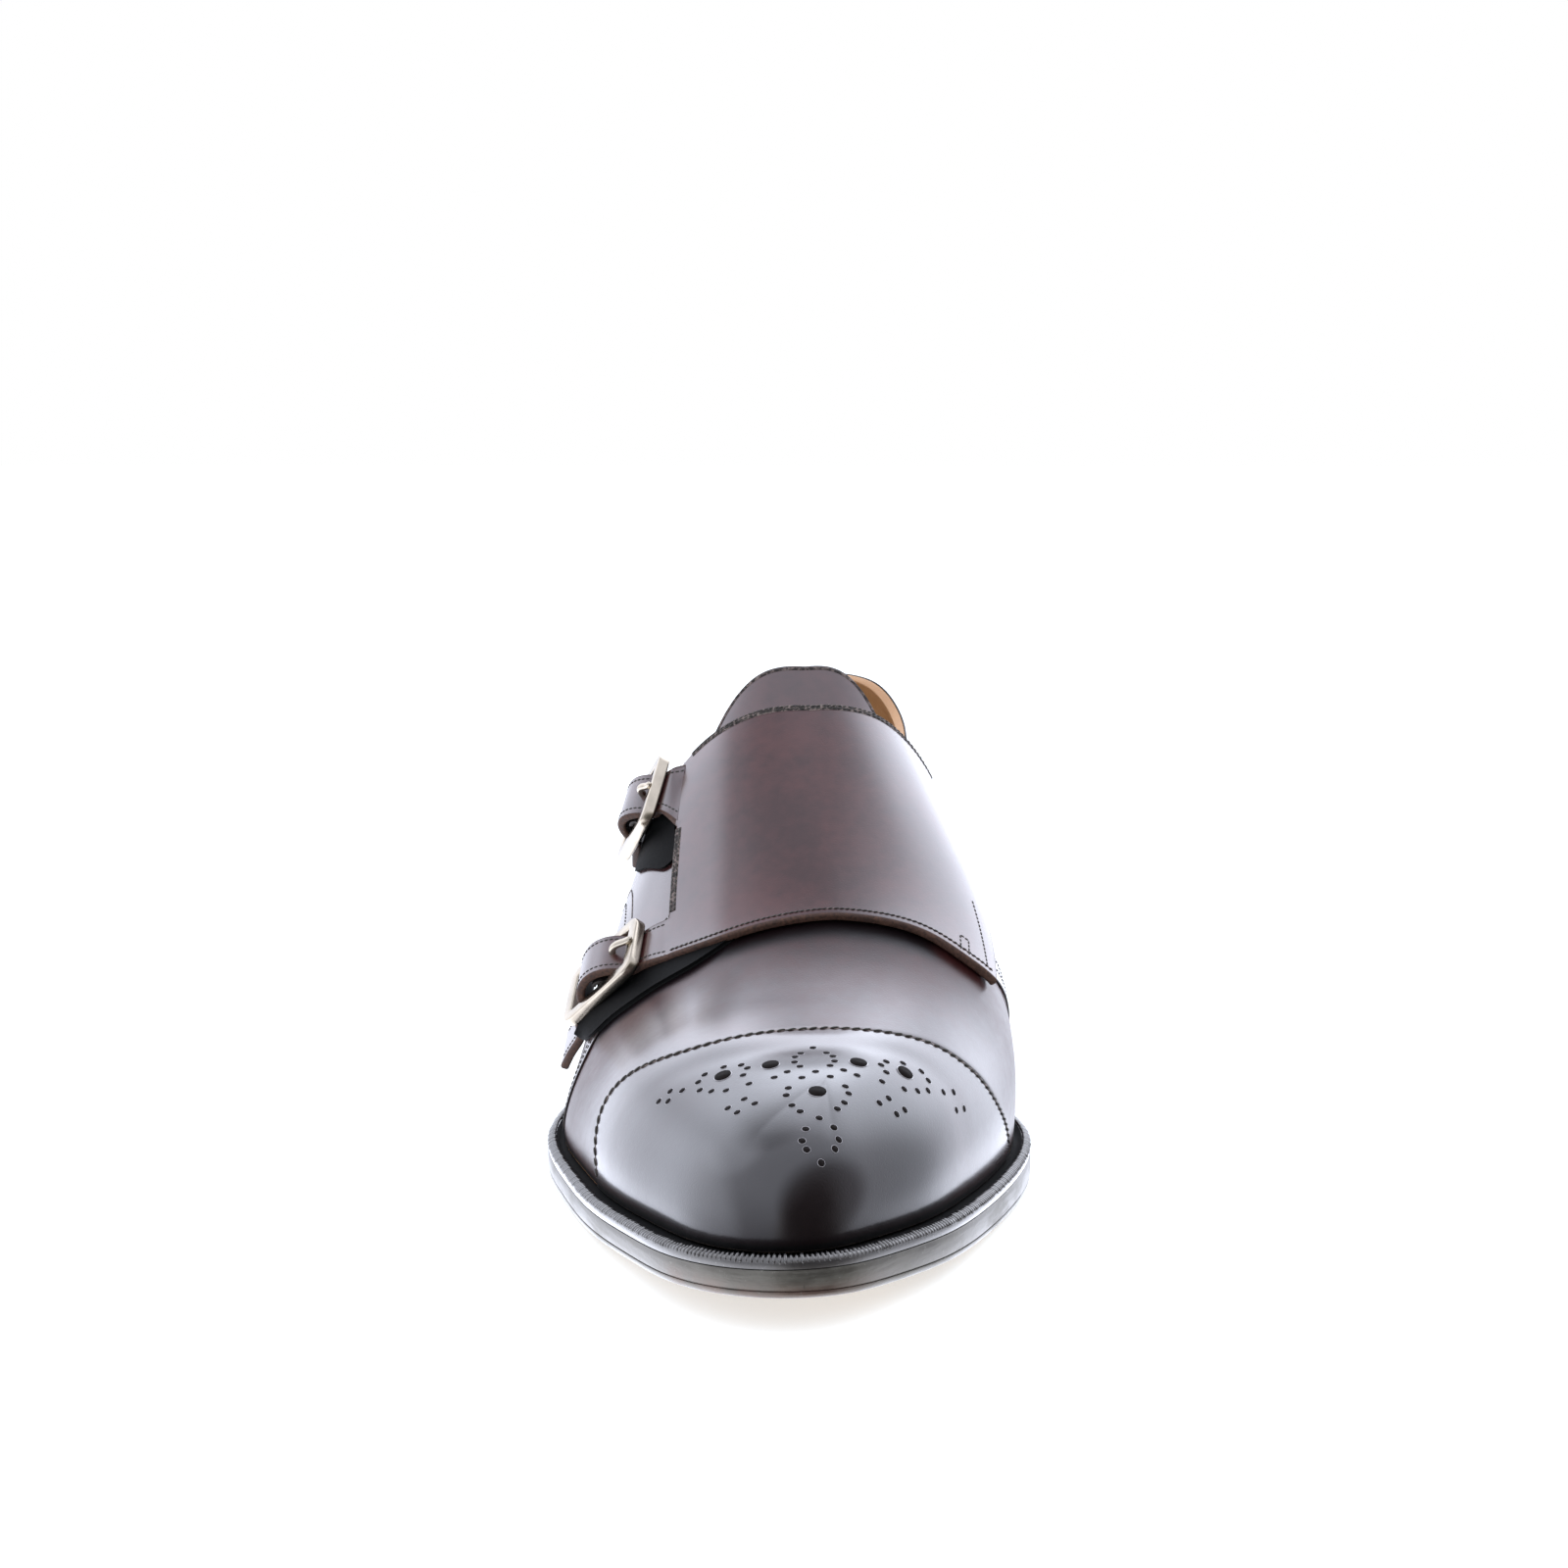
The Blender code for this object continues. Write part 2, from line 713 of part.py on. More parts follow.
def flap_point(column, row, offset):
    """Point of the flap's own grid: columns from the medial end over the ridge to the lateral edge."""
    v = row / FLAP_ROWS
    if column <= FLAP_MEDIAL_COLUMNS:
        rise = FLAP_MEDIAL_END + (1 - FLAP_MEDIAL_END) * column / FLAP_MEDIAL_COLUMNS
        front, top = (curve(rise) for curve in FLAP_MEDIAL)
        along = front + (top - front) * v
        return skin(turn(along * MM), MEDIAL, rise, offset)
    share = (column - FLAP_MEDIAL_COLUMNS) / FLAP_LATERAL_COLUMNS
    station = FLAP_EDGE_FRONT + (FLAP_EDGE_BACK - FLAP_EDGE_FRONT) * v
    rise = 1 - share * (1 - FLAP_EDGE(station))
    front, top = (curve(rise) for curve in FLAP_LATERAL)
    along = front + (top - front) * v
    return skin(turn(along * MM), LATERAL, rise, offset)


def strap_points(buckle, edge, before):
    """The strap's grid from the flap's cut edge through the buckle to its tail, as points and outward normals."""
    centre, along, across, outward = buckle_frame(buckle)
    half = buckle["length"] / 2
    knots = [before.mean(axis=0), edge.mean(axis=0)]
    for share, height in STRAP_PATH_MM + buckle["tail"]:
        knots.append(centre + along * share * half + outward * height * MM)
    knots = np.array(knots)
    length = np.concatenate([[0], np.cumsum(np.linalg.norm(np.diff(knots, axis=0), axis=1))])
    curves = [spline(length, knots[:, axis]) for axis in range(3)]
    edge_across = edge[-1] - edge[0]
    cells = len(edge)
    points, normals = [], []
    for t in range(1, STRAP_COLUMNS + 1):
        share = t / STRAP_COLUMNS
        at = length[1] + (length[-1] - length[1]) * share
        middle = np.array([curve(at) for curve in curves])
        ahead = unit(np.array([curve(at + STEP) - curve(at - STEP) for curve in curves]))
        settled = min(1, (at - length[1]) / (length[2] - length[1]))
        side = edge_across * (1 - settled) + across * STRAP_WIDTH * settled
        normal = np.cross(unit(side), ahead)
        normal *= np.sign(normal @ outward)
        for q in np.linspace(-0.5, 0.5, cells):
            points.append(middle + side * q)
            normals.append(unit(normal))
    return points, normals


def make_flap(looks, cutters):
    last_column = FLAP_MEDIAL_COLUMNS + FLAP_LATERAL_COLUMNS
    inner, outer = [], []
    for column in range(last_column + 1):
        for row in range(FLAP_ROWS + 1):
            inner.append(flap_point(column, row, FLAP_LIFT))
            outer.append(flap_point(column, row, FLAP_LIFT + FLAP_THICKNESS))
    faces = [quad[::-1] for quad in lattice_quads(last_column + 1, FLAP_ROWS + 1)]
    edge_start = last_column * (FLAP_ROWS + 1)
    for name in ("lower", "upper"):
        first, last = BUCKLES[name]["rows"]
        edge = np.array(inner[edge_start + first : edge_start + last + 1])
        before = np.array(inner[edge_start - FLAP_ROWS - 1 + first : edge_start - FLAP_ROWS + last])
        points, normals = strap_points(BUCKLES[name], edge, before)
        cells = last - first + 1
        start = len(inner)
        inner += points
        outer += [point + normal * FLAP_THICKNESS for point, normal in zip(points, normals)]
        for j in range(cells - 1):
            a = edge_start + first + j
            faces.append((a + 1, a, start + j, start + j + 1))
        faces += [quad[::-1] for quad in lattice_quads(STRAP_COLUMNS, cells, start)]
    flap = sheet("monk_flap", np.array(outer), np.array(inner), faces, looks["leather"])
    for cutter in cutters:
        cut = flap.modifiers.new("prong_hole", "BOOLEAN")
        cut.operation = "DIFFERENCE"
        cut.object = cutter
    return flap


def tube(name, path, radius, look, closed=False, turned=None):
    """A round bar along a list of points, with flat ends or joined into a loop."""
    path = np.asarray(path)
    count = len(path)
    if closed:
        heading = np.roll(path, -1, axis=0) - np.roll(path, 1, axis=0)
    else:
        heading = np.gradient(path, axis=0)
    reference = turned if turned is not None else np.array([0.0, 0.0, 1.0])
    points = []
    for centre, ahead in zip(path, heading):
        ahead = unit(ahead)
        first = unit(reference - ahead * (reference @ ahead))
        second = np.cross(ahead, first)
        for i in range(TUBE_SIDES):
            angle = 2 * math.pi * i / TUBE_SIDES
            points.append(centre + radius * (first * math.cos(angle) + second * math.sin(angle)))
    faces = []
    for i in range(count if closed else count - 1):
        here = i * TUBE_SIDES
        there = (i + 1) % count * TUBE_SIDES
        for j in range(TUBE_SIDES):
            after = (j + 1) % TUBE_SIDES
            faces.append((here + j, here + after, there + after, there + j))
    if not closed:
        faces.append(tuple(reversed(range(TUBE_SIDES))))
        faces.append(tuple(range((count - 1) * TUBE_SIDES, count * TUBE_SIDES)))
    return add_object(name, np.array(points), faces, look)


def helper(made):
    made.hide_render = True
    made.display_type = "WIRE"
    return made


def make_buckle(name, looks):
    """A buckle's frame with its centre bar, its prong, the strap loop that holds it, and the cutter of the hole."""
    buckle = BUCKLES[name]
    centre, along, across, outward = buckle_frame(buckle)
    half_long = buckle["length"] / 2
    half_wide = STRAP_WIDTH / 2 + STRAP_PLAY + BAR_RADIUS
    path = []
    for sign_long, sign_wide, start in ((1, 1, 0), (-1, 1, 90), (-1, -1, 180), (1, -1, 270)):
        for angle in np.radians(np.linspace(start, start + 90, FRAME_CORNER_STEPS)):
            s = sign_long * (half_long - FRAME_CORNER) + FRAME_CORNER * math.cos(angle)
            q = sign_wide * (half_wide - FRAME_CORNER) + FRAME_CORNER * math.sin(angle)
            path.append(centre + along * s + across * q)
    frame = tube(f"{name}_buckle", path, BAR_RADIUS, looks["metal"], closed=True, turned=outward)
    bar_path = [centre - across * half_wide, centre, centre + across * half_wide]
    bar_radius = BAR_RADIUS * CENTRE_BAR_SHARE
    bar = helper(tube(f"{name}_centre_bar", bar_path, bar_radius, looks["metal"], turned=outward))
    join = frame.modifiers.new("centre_bar", "BOOLEAN")
    join.operation = "UNION"
    join.object = bar

    def spot(s, height, sideways=0.0):
        return centre + along * s + outward * height + across * sideways

    rest = BAR_RADIUS + GAP + PRONG_RADIUS
    prong_path = [spot(s * MM, height * MM) for s, height in PRONG_MM]
    prong_path.append(spot(-half_long, rest))
    prong_path.append(spot(-half_long - PRONG_TIP, rest - PRONG_DROP))
    tube(f"{name}_prong", prong_path, PRONG_RADIUS, looks["metal"], turned=across)
    hole_path = [spot(s * MM, height * MM) for s, height in HOLE_MM]
    hole_radius = PRONG_RADIUS + HOLE_PLAY
    hole = helper(tube(f"{name}_hole", hole_path, hole_radius, looks["leather"], turned=across))
    wrap = BAR_RADIUS + GAP
    loop_path = []
    for angle in np.radians(np.linspace(*LOOP_ANGLES, LOOP_STEPS)):
        loop_path.append((wrap * math.cos(angle), wrap * math.sin(angle)))
    loop_path += [(s * MM, height * MM) for s, height in LOOP_TAIL_MM]
    outer, inner = [], []
    for i, (s, height) in enumerate(loop_path):
        ahead = np.array(loop_path[min(i + 1, len(loop_path) - 1)]) - np.array(loop_path[max(i - 1, 0)])
        away = np.array([ahead[1], -ahead[0]]) / np.linalg.norm(ahead)
        for q in (-LOOP_WIDTH / 2, LOOP_WIDTH / 2):
            inner.append(spot(s, height, q))
            outer.append(spot(s + away[0] * LOOP_THICKNESS, height + away[1] * LOOP_THICKNESS, q))
    faces = [quad[::-1] for quad in lattice_quads(len(loop_path), 2)]
    sheet(f"{name}_buckle_loop", np.array(outer), np.array(inner), faces, looks["strap"])
    return hole


def clear_scene():
    for old in list(bpy.data.objects):
        bpy.data.objects.remove(old, do_unlink=True)


def main():
    clear_scene()
    looks = {
        "leather": material("burgundy_leather", (0.09, 0.035, 0.04), 0.22),
        "strap": material("black_leather", (0.02, 0.016, 0.016), 0.5),
        "lining": material("tan_lining", (0.50, 0.28, 0.13), 0.6),
        "sole": material("black_sole_edge", (0.035, 0.033, 0.035), 0.4),
        "rubber": material("black_rubber", (0.02, 0.02, 0.02), 0.7),
        "metal": material("pale_nickel", (0.80, 0.74, 0.66), 0.25, 1.0),
    }
    make_sole(looks)
    make_heel(looks)
    make_upper(looks)
    make_tongue(looks)
    cutters = [make_buckle(name, looks) for name in BUCKLES]
    make_flap(looks, cutters)


if __name__ == "__main__":
    main()
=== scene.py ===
"""Looks of a double monk strap shoe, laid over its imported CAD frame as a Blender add-on.

The frame: the toe points to -Y, the heel to +Y, +X is the medial side, +Z is up, and the shoe stands on
z = 0. Lengths along the shoe are measured from the toe tip of the outsole. Sizes are in metres; the tables
are written in millimetres and scaled once when they are read.
"""

import math

import bpy
import numpy as np
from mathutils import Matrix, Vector
from mathutils.bvhtree import BVHTree
from mathutils.kdtree import KDTree

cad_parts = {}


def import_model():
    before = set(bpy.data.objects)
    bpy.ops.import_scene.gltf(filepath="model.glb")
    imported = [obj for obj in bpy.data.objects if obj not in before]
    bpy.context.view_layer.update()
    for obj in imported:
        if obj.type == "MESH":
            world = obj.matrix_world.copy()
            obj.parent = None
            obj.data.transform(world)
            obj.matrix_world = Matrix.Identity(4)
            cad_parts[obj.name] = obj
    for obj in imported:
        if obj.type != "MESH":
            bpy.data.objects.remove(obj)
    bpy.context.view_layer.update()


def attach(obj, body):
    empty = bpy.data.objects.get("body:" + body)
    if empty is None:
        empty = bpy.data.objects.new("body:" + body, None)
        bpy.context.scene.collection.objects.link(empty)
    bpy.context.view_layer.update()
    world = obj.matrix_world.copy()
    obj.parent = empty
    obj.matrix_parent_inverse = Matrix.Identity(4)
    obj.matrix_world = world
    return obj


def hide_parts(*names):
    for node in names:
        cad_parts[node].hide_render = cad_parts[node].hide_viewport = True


bl_info = {
    "name": "Double Monk Strap Shoe",
    "version": (1, 0, 0),
    "blender": (4, 5, 0),
    "location": "View3D > Sidebar > Shoe",
    "description": "Builds the leather, welt, stitching and buckles of a double monk strap shoe",
    "category": "Object",
}

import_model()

MM = 0.001
LENGTH = 300 * MM
TOE_SPRING = 7.5 * MM
TOE_SPRING_POWER = 1.7
TREAD_START = 97 * MM
TREAD_END = 125 * MM
BREAST = 222 * MM
BREAST_HEIGHT = 17.8 * MM
BREAST_SLOPE = 0.12
SEAT_BACK_HEIGHT = 23.4 * MM
SEAT_BACK_SLOPE = 0.03
OUTSOLE_THICKNESS = 5.8 * MM
WELT_THICKNESS = 2.3 * MM
WALL = 2.4 * MM
CAP_THICKNESS = 1.2 * MM
GAP = 0.3 * MM
EDGE_ROUND = 0.8 * MM
TOP_PIECE_HEIGHT = 5.7 * MM
HEEL_TAPER = 2.5 * MM
FLAP_THICKNESS = 2.0 * MM
FLAP_LIFT = 0.5 * MM
TONGUE_THICKNESS = 2.0 * MM
STRAP_WIDTH = 12.2 * MM
BAR_RADIUS = 1.1 * MM
PRONG_RADIUS = 0.95 * MM
CENTRE_BAR_SHARE = 0.9
FRAME_CORNER = 1.9 * MM
FRAME_HIGH, FRAME_WIDE = 1.45 * MM, 1.6 * MM
LATERAL, MEDIAL = -1, 1
# Where a pair of splines keeps each side's own one.
COLUMN = {LATERAL: 0, MEDIAL: 1}
# The step of a station number over which a slope is taken.
STEP = 1e-4

# Plan outline of the outsole: along the shoe, then x of the lateral and of the medial edge.
OUTLINE_MM = (
    # along, lateral, medial
    (0, 0.0, 0.0),
    (5, -14.0, 13.3),
    (16, -23.5, 22.8),
    (32, -31.4, 33.2),
    (54, -40.7, 42.4),
    (80, -48.4, 50.6),
    (106, -53.8, 54.2),
    (135, -50.8, 47.5),
    (165, -42.5, 36.0),
    (195, -33.5, 32.5),
    (225, -28.0, 35.5),
    (255, -26.0, 40.0),
    (280, -22.5, 36.5),
    (294, -12.0, 26.0),
    (300, 7.0, 7.0),
)

# Welt margin: how far the foot of the upper stands inside the outline.
MARGIN_MM = ((0, 7.0), (30, 5.8), (60, 4.9), (105, 3.8), (150, 3.0), (220, 2.4), (300, 2.2))

# The last, station by station. Each station runs from the outline up to the spine on both sides.
LAST_MM = (
    # along, spine along, spine x, spine z, lateral fullness, medial fullness, lateral swell, medial swell
    (0, 34, 8.0, 39.8, 2.30, 2.30, 0.0, 0.0),
    (16, 39, 8.5, 40.8, 2.35, 2.40, 0.0, 0.0),
    (36, 50, 9.5, 42.2, 2.45, 2.60, 0.3, 0.3),
    (62, 67, 10.0, 44.2, 2.50, 2.85, 0.6, 0.6),
    (86, 90, 11.5, 48.5, 1.95, 2.80, 0.4, 0.8),
    (110, 112, 12.0, 57.5, 1.65, 2.75, 0.2, 1.5),
    (130, 130, 10.0, 69.0, 1.80, 2.90, 0.8, 4.0),
    (150, 149, 7.0, 83.0, 2.20, 2.90, 1.0, 7.0),
    (170, 167, 4.5, 96.0, 2.40, 2.80, 1.0, 8.0),
    (195, 190, 3.5, 107.0, 2.30, 2.40, 1.0, 5.5),
    (225, 222, 5.0, 105.0, 2.10, 2.10, 1.0, 2.0),
    (255, 252, 6.5, 102.0, 2.00, 2.00, 1.0, 1.0),
    (280, 274, 7.0, 102.0, 2.00, 2.00, 1.5, 1.5),
    (300, 285, 7.0, 102.0, 2.00, 2.00, 2.0, 2.0),
)


def spline(knots, values, level_ends=False):
    """A cubic spline through the knots, as a function of an array. Its ends are free or have no slope."""
    knots = np.asarray(knots, float)
    values = np.asarray(values, float)
    step = np.diff(knots)
    slope = np.diff(values) / step
    count = len(knots)
    matrix = np.eye(count)
    right = np.zeros(count)
    for i in range(1, count - 1):
        matrix[i, i - 1] = step[i - 1]
        matrix[i, i] = 2 * (step[i - 1] + step[i])
        matrix[i, i + 1] = step[i]
        right[i] = 6 * (slope[i] - slope[i - 1])
    if level_ends:
        matrix[0, :2] = 2 * step[0], step[0]
        matrix[-1, -2:] = step[-1], 2 * step[-1]
        right[0] = 6 * slope[0]
        right[-1] = -6 * slope[-1]
    bend = np.linalg.solve(matrix, right)

    def curve(at):
        at = np.asarray(at, float)
        i = np.clip(np.searchsorted(knots, at) - 1, 0, count - 2)
        left = at - knots[i]
        right_side = knots[i + 1] - at
        return (
            (bend[i] * right_side**3 + bend[i + 1] * left**3) / (6 * step[i])
            + (values[i] / step[i] - bend[i] * step[i] / 6) * right_side
            + (values[i + 1] / step[i] - bend[i + 1] * step[i] / 6) * left
        )

    return curve


def turn(along):
    """Station number, 0 at the toe tip and 1 at the heel. It is even in angle, so both ends are round."""
    return np.arccos(np.clip(1 - 2 * np.asarray(along, float) / LENGTH, -1, 1)) / math.pi


def along_of(u):
    """Place along the shoe of a station number."""
    return LENGTH * (1 - np.cos(math.pi * np.asarray(u, float))) / 2


def columns(rows, level_ends=False):
    """A spline over station numbers for each column after the first, which holds places along the shoe."""
    table = np.array(rows, float)
    knots = turn(table[:, 0] * MM)
    return [spline(knots, table[:, i], level_ends) for i in range(1, table.shape[1])]


# What both sides share has no slope at the toe and the heel, so the surface has no ridge there.
OUTLINE = columns(OUTLINE_MM)
MARGIN = columns(MARGIN_MM, level_ends=True)[0]
SPINE_ALONG, SPINE_X, SPINE_Z, *LAST_SIDES = columns(LAST_MM, level_ends=True)
FULLNESS, SWELL = LAST_SIDES[:2], LAST_SIDES[2:]


def hermite(s, z0, slope0, z1, slope1, run):
    """A cubic between two heights with given slopes, where s goes from 0 to 1 over the run."""
    return (
        z0 * (1 + 2 * s) * (1 - s) ** 2
        + slope0 * run * s * (1 - s) ** 2
        + z1 * s * s * (3 - 2 * s)
        + slope1 * run * s * s * (s - 1)
    )


def sole_bottom(along):
    """Height of the outsole's under side: toe spring, flat tread, waist and heel seat."""
    along = np.asarray(along, float)
    toe = TOE_SPRING * np.clip(1 - along / TREAD_START, 0, 1) ** TOE_SPRING_POWER
    waist_run = BREAST - TREAD_END
    s = np.clip((along - TREAD_END) / waist_run, 0, 1)
    waist = hermite(s, 0, 0, BREAST_HEIGHT, BREAST_SLOPE, waist_run)
    seat_run = LENGTH - BREAST
    s = np.clip((along - BREAST) / seat_run, 0, 1)
    seat = hermite(s, BREAST_HEIGHT, BREAST_SLOPE, SEAT_BACK_HEIGHT, SEAT_BACK_SLOPE, seat_run)
    return np.where(along < TREAD_END, toe, np.where(along < BREAST, waist, seat))


# The medial edge of the forepart is a little thicker than the lateral one.
MEDIAL_LIFT = 0.012
LIFT_END = 170 * MM


def sole_top(along, x):
    """Height of the outsole's upper side."""
    fade = np.clip((LIFT_END - np.asarray(along, float)) / (LIFT_END - TREAD_START), 0, 1)
    return sole_bottom(along) + OUTSOLE_THICKNESS + MEDIAL_LIFT * fade * x


def foot_point(u, side):
    """Where the wall of the last starts: its plan point inside the outline, and its height above the welt."""
    foot = inset(u, side, MARGIN(u) * MM)
    return foot, sole_top(foot[..., 1], foot[..., 0]) + GAP + WELT_THICKNESS + GAP


def outline(u, side):
    """Plan point (x, along) of the outsole's edge."""
    return np.stack([OUTLINE[COLUMN[side]](u) * MM, along_of(u)], -1)


def inset(u, side, distance):
    """The outline's plan point moved inwards by a distance, square to the edge."""
    # Past either end the outline goes on along the other side, so the ends stay square to the edge.
    before = np.asarray(u) - STEP
    after = np.asarray(u) + STEP
    first = np.where((before < 0)[..., None], outline(np.abs(before), -side), outline(before, side))
    folded = np.where(after > 1, 2 - after, after)
    second = np.where((after > 1)[..., None], outline(folded, -side), outline(after, side))
    tangent = second - first
    tangent /= np.linalg.norm(tangent, axis=-1, keepdims=True)
    # Walking from toe to heel the inside is on +x along the lateral edge, and on -x along the medial one.
    inward = np.stack([tangent[..., 1], -tangent[..., 0]], -1) * -side
    return outline(u, side) + inward * np.asarray(distance)[..., None]


# The spine's slope is taken over this step, and the wall takes it up only close to the spine.
RIDGE_STEP = 0.03
TILT_POWER = 5


def ridge_slope(u):
    """Slope of the spine where station u meets it. It stays as it is close to either end."""
    u = np.clip(u, 3 * RIDGE_STEP, 1 - 3 * RIDGE_STEP)
    run = SPINE_ALONG(u + RIDGE_STEP) - SPINE_ALONG(u - RIDGE_STEP)
    return (SPINE_Z(u + RIDGE_STEP) - SPINE_Z(u - RIDGE_STEP)) / run


def last_point(u, side, rise):
    """Point of the last at station u, on one side, with rise 0 at the foot of the wall and 1 at the spine."""
    u, rise = np.broadcast_arrays(np.asarray(u, float), np.asarray(rise, float))
    spine_along, spine_x, spine_z = SPINE_ALONG(u) * MM, SPINE_X(u) * MM, SPINE_Z(u) * MM
    full = FULLNESS[COLUMN[side]](u)
    swell = SWELL[COLUMN[side]](u) * MM
    foot, foot_z = foot_point(u, side)
    angle = rise * math.pi / 2
    inward = 1 - np.cos(angle) ** (2 / full)
    upward = np.sin(angle) ** (2 / full)
    spine = np.stack([spine_x, spine_along], -1)
    reach = spine - foot
    length = np.linalg.norm(reach, axis=-1, keepdims=True)
    bulge = swell * 4 * upward * (1 - upward)
    plan = foot + reach * inward[..., None] - reach / length * bulge[..., None]
    z = foot_z + (spine_z - foot_z) * upward
    # Near the spine the wall leans with the ridge's own slope.
    z = z + ridge_slope(u) * (plan[..., 1] - spine_along) * upward**TILT_POWER
    return np.concatenate([plan, z[..., None]], -1)


def last_normal(u, side, rise):
    """Outward unit normal of the last."""
    u, rise = np.broadcast_arrays(np.asarray(u, float), np.asarray(rise, float))
    before = last_point(np.maximum(u - STEP, 0), side, rise)
    forward = last_point(np.minimum(u + STEP, 1), side, rise) - before
    low = np.maximum(rise - 5 * STEP, 0)
    high = np.minimum(rise + 5 * STEP, 1)
    up = last_point(u, side, high) - last_point(u, side, low)
    normal = np.cross(forward, up) * side
    return normal / np.linalg.norm(normal, axis=-1, keepdims=True)


def rise_at(u, side, z):
    """How far up the wall the last reaches a height."""
    _, foot_z = foot_point(u, side)
    share = np.clip((z - foot_z) / (SPINE_Z(u) * MM - foot_z), 0, 1)
    return np.arcsin(share ** (FULLNESS[COLUMN[side]](u) / 2)) * 2 / math.pi


def table_of(rows):
    """A spline for each column after the first, over the first column as it stands."""
    table = np.array(rows, float)
    return [spline(table[:, 0], table[:, i]) for i in range(1, table.shape[1])]


# Where the toe cap ends: the station for each rise up the wall.
CAP_LINE = table_of((
    # rise, lateral along, medial along
    (0.00, 64.0, 87.0),
    (0.15, 67.5, 76.0),
    (0.30, 69.0, 69.5),
    (0.45, 64.5, 65.0),
    (0.60, 59.0, 62.0),
    (0.80, 56.7, 58.3),
    (1.00, 55.8, 55.8),
))

# Height of the upper's free edge, down both sides of the throat and round the collar.
TOPLINE = table_of((
    # along, lateral height, medial height
    (118, 58.0, 58.0),
    (126, 61.0, 61.0),
    (140, 69.0, 69.0),
    (155, 77.0, 77.5),
    (166, 81.5, 82.5),
    (172, 81.0, 82.0),
    (184, 76.5, 77.0),
    (200, 71.5, 72.0),
    (217, 69.5, 69.5),
    (232, 72.0, 72.0),
    (247, 76.5, 76.5),
    (260, 79.5, 79.5),
    (272, 83.0, 83.0),
    (285, 86.5, 86.5),
    (300, 88.5, 88.5),
))
THROAT = 114 * MM

# The tongue, from its foot to its tip: how far it stands off the last, and half its width up the wall.
TONGUE_OFFSET, TONGUE_HALF = table_of((
    # along, offset, half width
    (106, -4.3, 0.22),
    (130, -3.8, 0.36),
    (150, -3.5, 0.38),
    (160, -3.0, 0.36),
    (168, -1.2, 0.33),
    (175, 1.3, 0.30),
    (181, 3.5, 0.28),
))
TONGUE_FOOT, TONGUE_TIP, TONGUE_CORNER = 106 * MM, 181 * MM, 11 * MM

# The flap's front and top edges on each side: their places along the shoe for each rise up the wall.
FLAP_MEDIAL = table_of((
    # rise, front along, top along
    (0.44, 104.5, 172.0),
    (0.61, 102.5, 171.0),
    (0.77, 104.3, 169.8),
    (0.87, 105.2, 168.8),
    (1.00, 106.0, 168.3),
))
FLAP_LATERAL = table_of((
    # rise, front along, top along
    (0.54, 115.0, 164.5),
    (0.62, 111.6, 166.0),
    (0.74, 109.0, 167.2),
    (0.87, 107.2, 168.0),
    (1.00, 106.0, 168.3),
))
FLAP_MEDIAL_END = 0.44

# The flap's cut edge on the lateral side: its two ends, and the rise it reaches at each place.
FLAP_EDGE_FRONT, FLAP_EDGE_BACK = 115, 165
FLAP_EDGE = table_of((
    # along, rise
    (106, 0.55),
    (118, 0.55),
    (128, 0.555),
    (140, 0.58),
    (154, 0.605),
    (170, 0.60),
))[0]

# A strap's under side along its buckle: share of the half length, and height over the frame.
STRAP_PATH_MM = (
    # share, height
    (-1.0, -3.6),
    (-0.8, -3.1),
    (-0.4, 1.2),
    (0.0, 3.0),
    (0.4, 1.2),
    (0.8, -3.1),
    (1.0, -3.6),
)

# Each buckle: three corners of its frame, its length and half its width, the rows of the flap that run into
# its strap, and the strap's end beyond the frame.
FLAP_ROWS = 12
BUCKLES = {
    "lower": {
        "near_front": (-35.6, 116.5, 43.8),
        "near_back": (-34.6, 129.0, 50.8),
        "far_front": (-50.4, 126.2, 28.5),
        "length": 23.0 * MM,
        "half_wide": 7.5 * MM,
        "rows": (0, 3),
        "tail": ((1.22, -5.9), (1.72, -7.9), (2.25, -9.7)),
    },
    "upper": {
        "near_front": (-33.7, 152.0, 71.9),
        "near_back": (-30.3, 163.0, 83.3),
        "far_front": (-40.2, 166.5, 59.8),
        "length": 20.0 * MM,
        "half_wide": 8.7 * MM,
        "rows": (8, 12),
        "tail": ((1.16, -4.0), (1.70, -5.6)),
    },
}

# How many lines of points each stretch of leather has, and where the toe cap's slant is lost.
CAP_LINES = 52
SETTLE_LINES = 26
SETTLED_ALONG = 102 * MM
BODY_LINES = 150
WALL_LINES = 46
SOLE_LINES = 230
HEEL_LINES = 90
FLAP_LINES = 72
FLAP_MEDIAL_LINES = 50
FLAP_LATERAL_LINES = 34
STRAP_LINES = 56
TONGUE_LINES = 60
TONGUE_ACROSS = 52
CAP_PROUD = 0.35 * MM
CAP_PANEL = 0.85 * MM
CAP_TRIM = 0.15 * MM
PANEL_CORNER = 0.35 * MM
FOOT_DROP = 1.0 * MM
RIM_REACH = 3.0 * MM

# Soft troughs and ridges pressed into the leather: where, how far they reach, and how deep.
CREASES_MM = (
    # across, along, reach across, reach along, turn in degrees, depth
    (-8.0, 51.0, 17.0, 3.2, -4.0, -0.22),
    (24.0, 53.0, 10.0, 3.0, 8.0, -0.20),
    (2.0, 57.5, 26.0, 3.0, 0.0, 0.12),
    (-6.0, 84.0, 28.0, 6.0, 3.0, -0.07),
    (14.0, 95.0, 24.0, 5.0, -5.0, -0.06),
    (-2.0, 74.0, 30.0, 6.0, -2.0, 0.05),
)


def world(points):
    """Points (x, along, z) moved to the shoe's own frame, whose origin is under the middle of its length."""
    return np.asarray(points, float) - np.array([0, LENGTH / 2, 0])


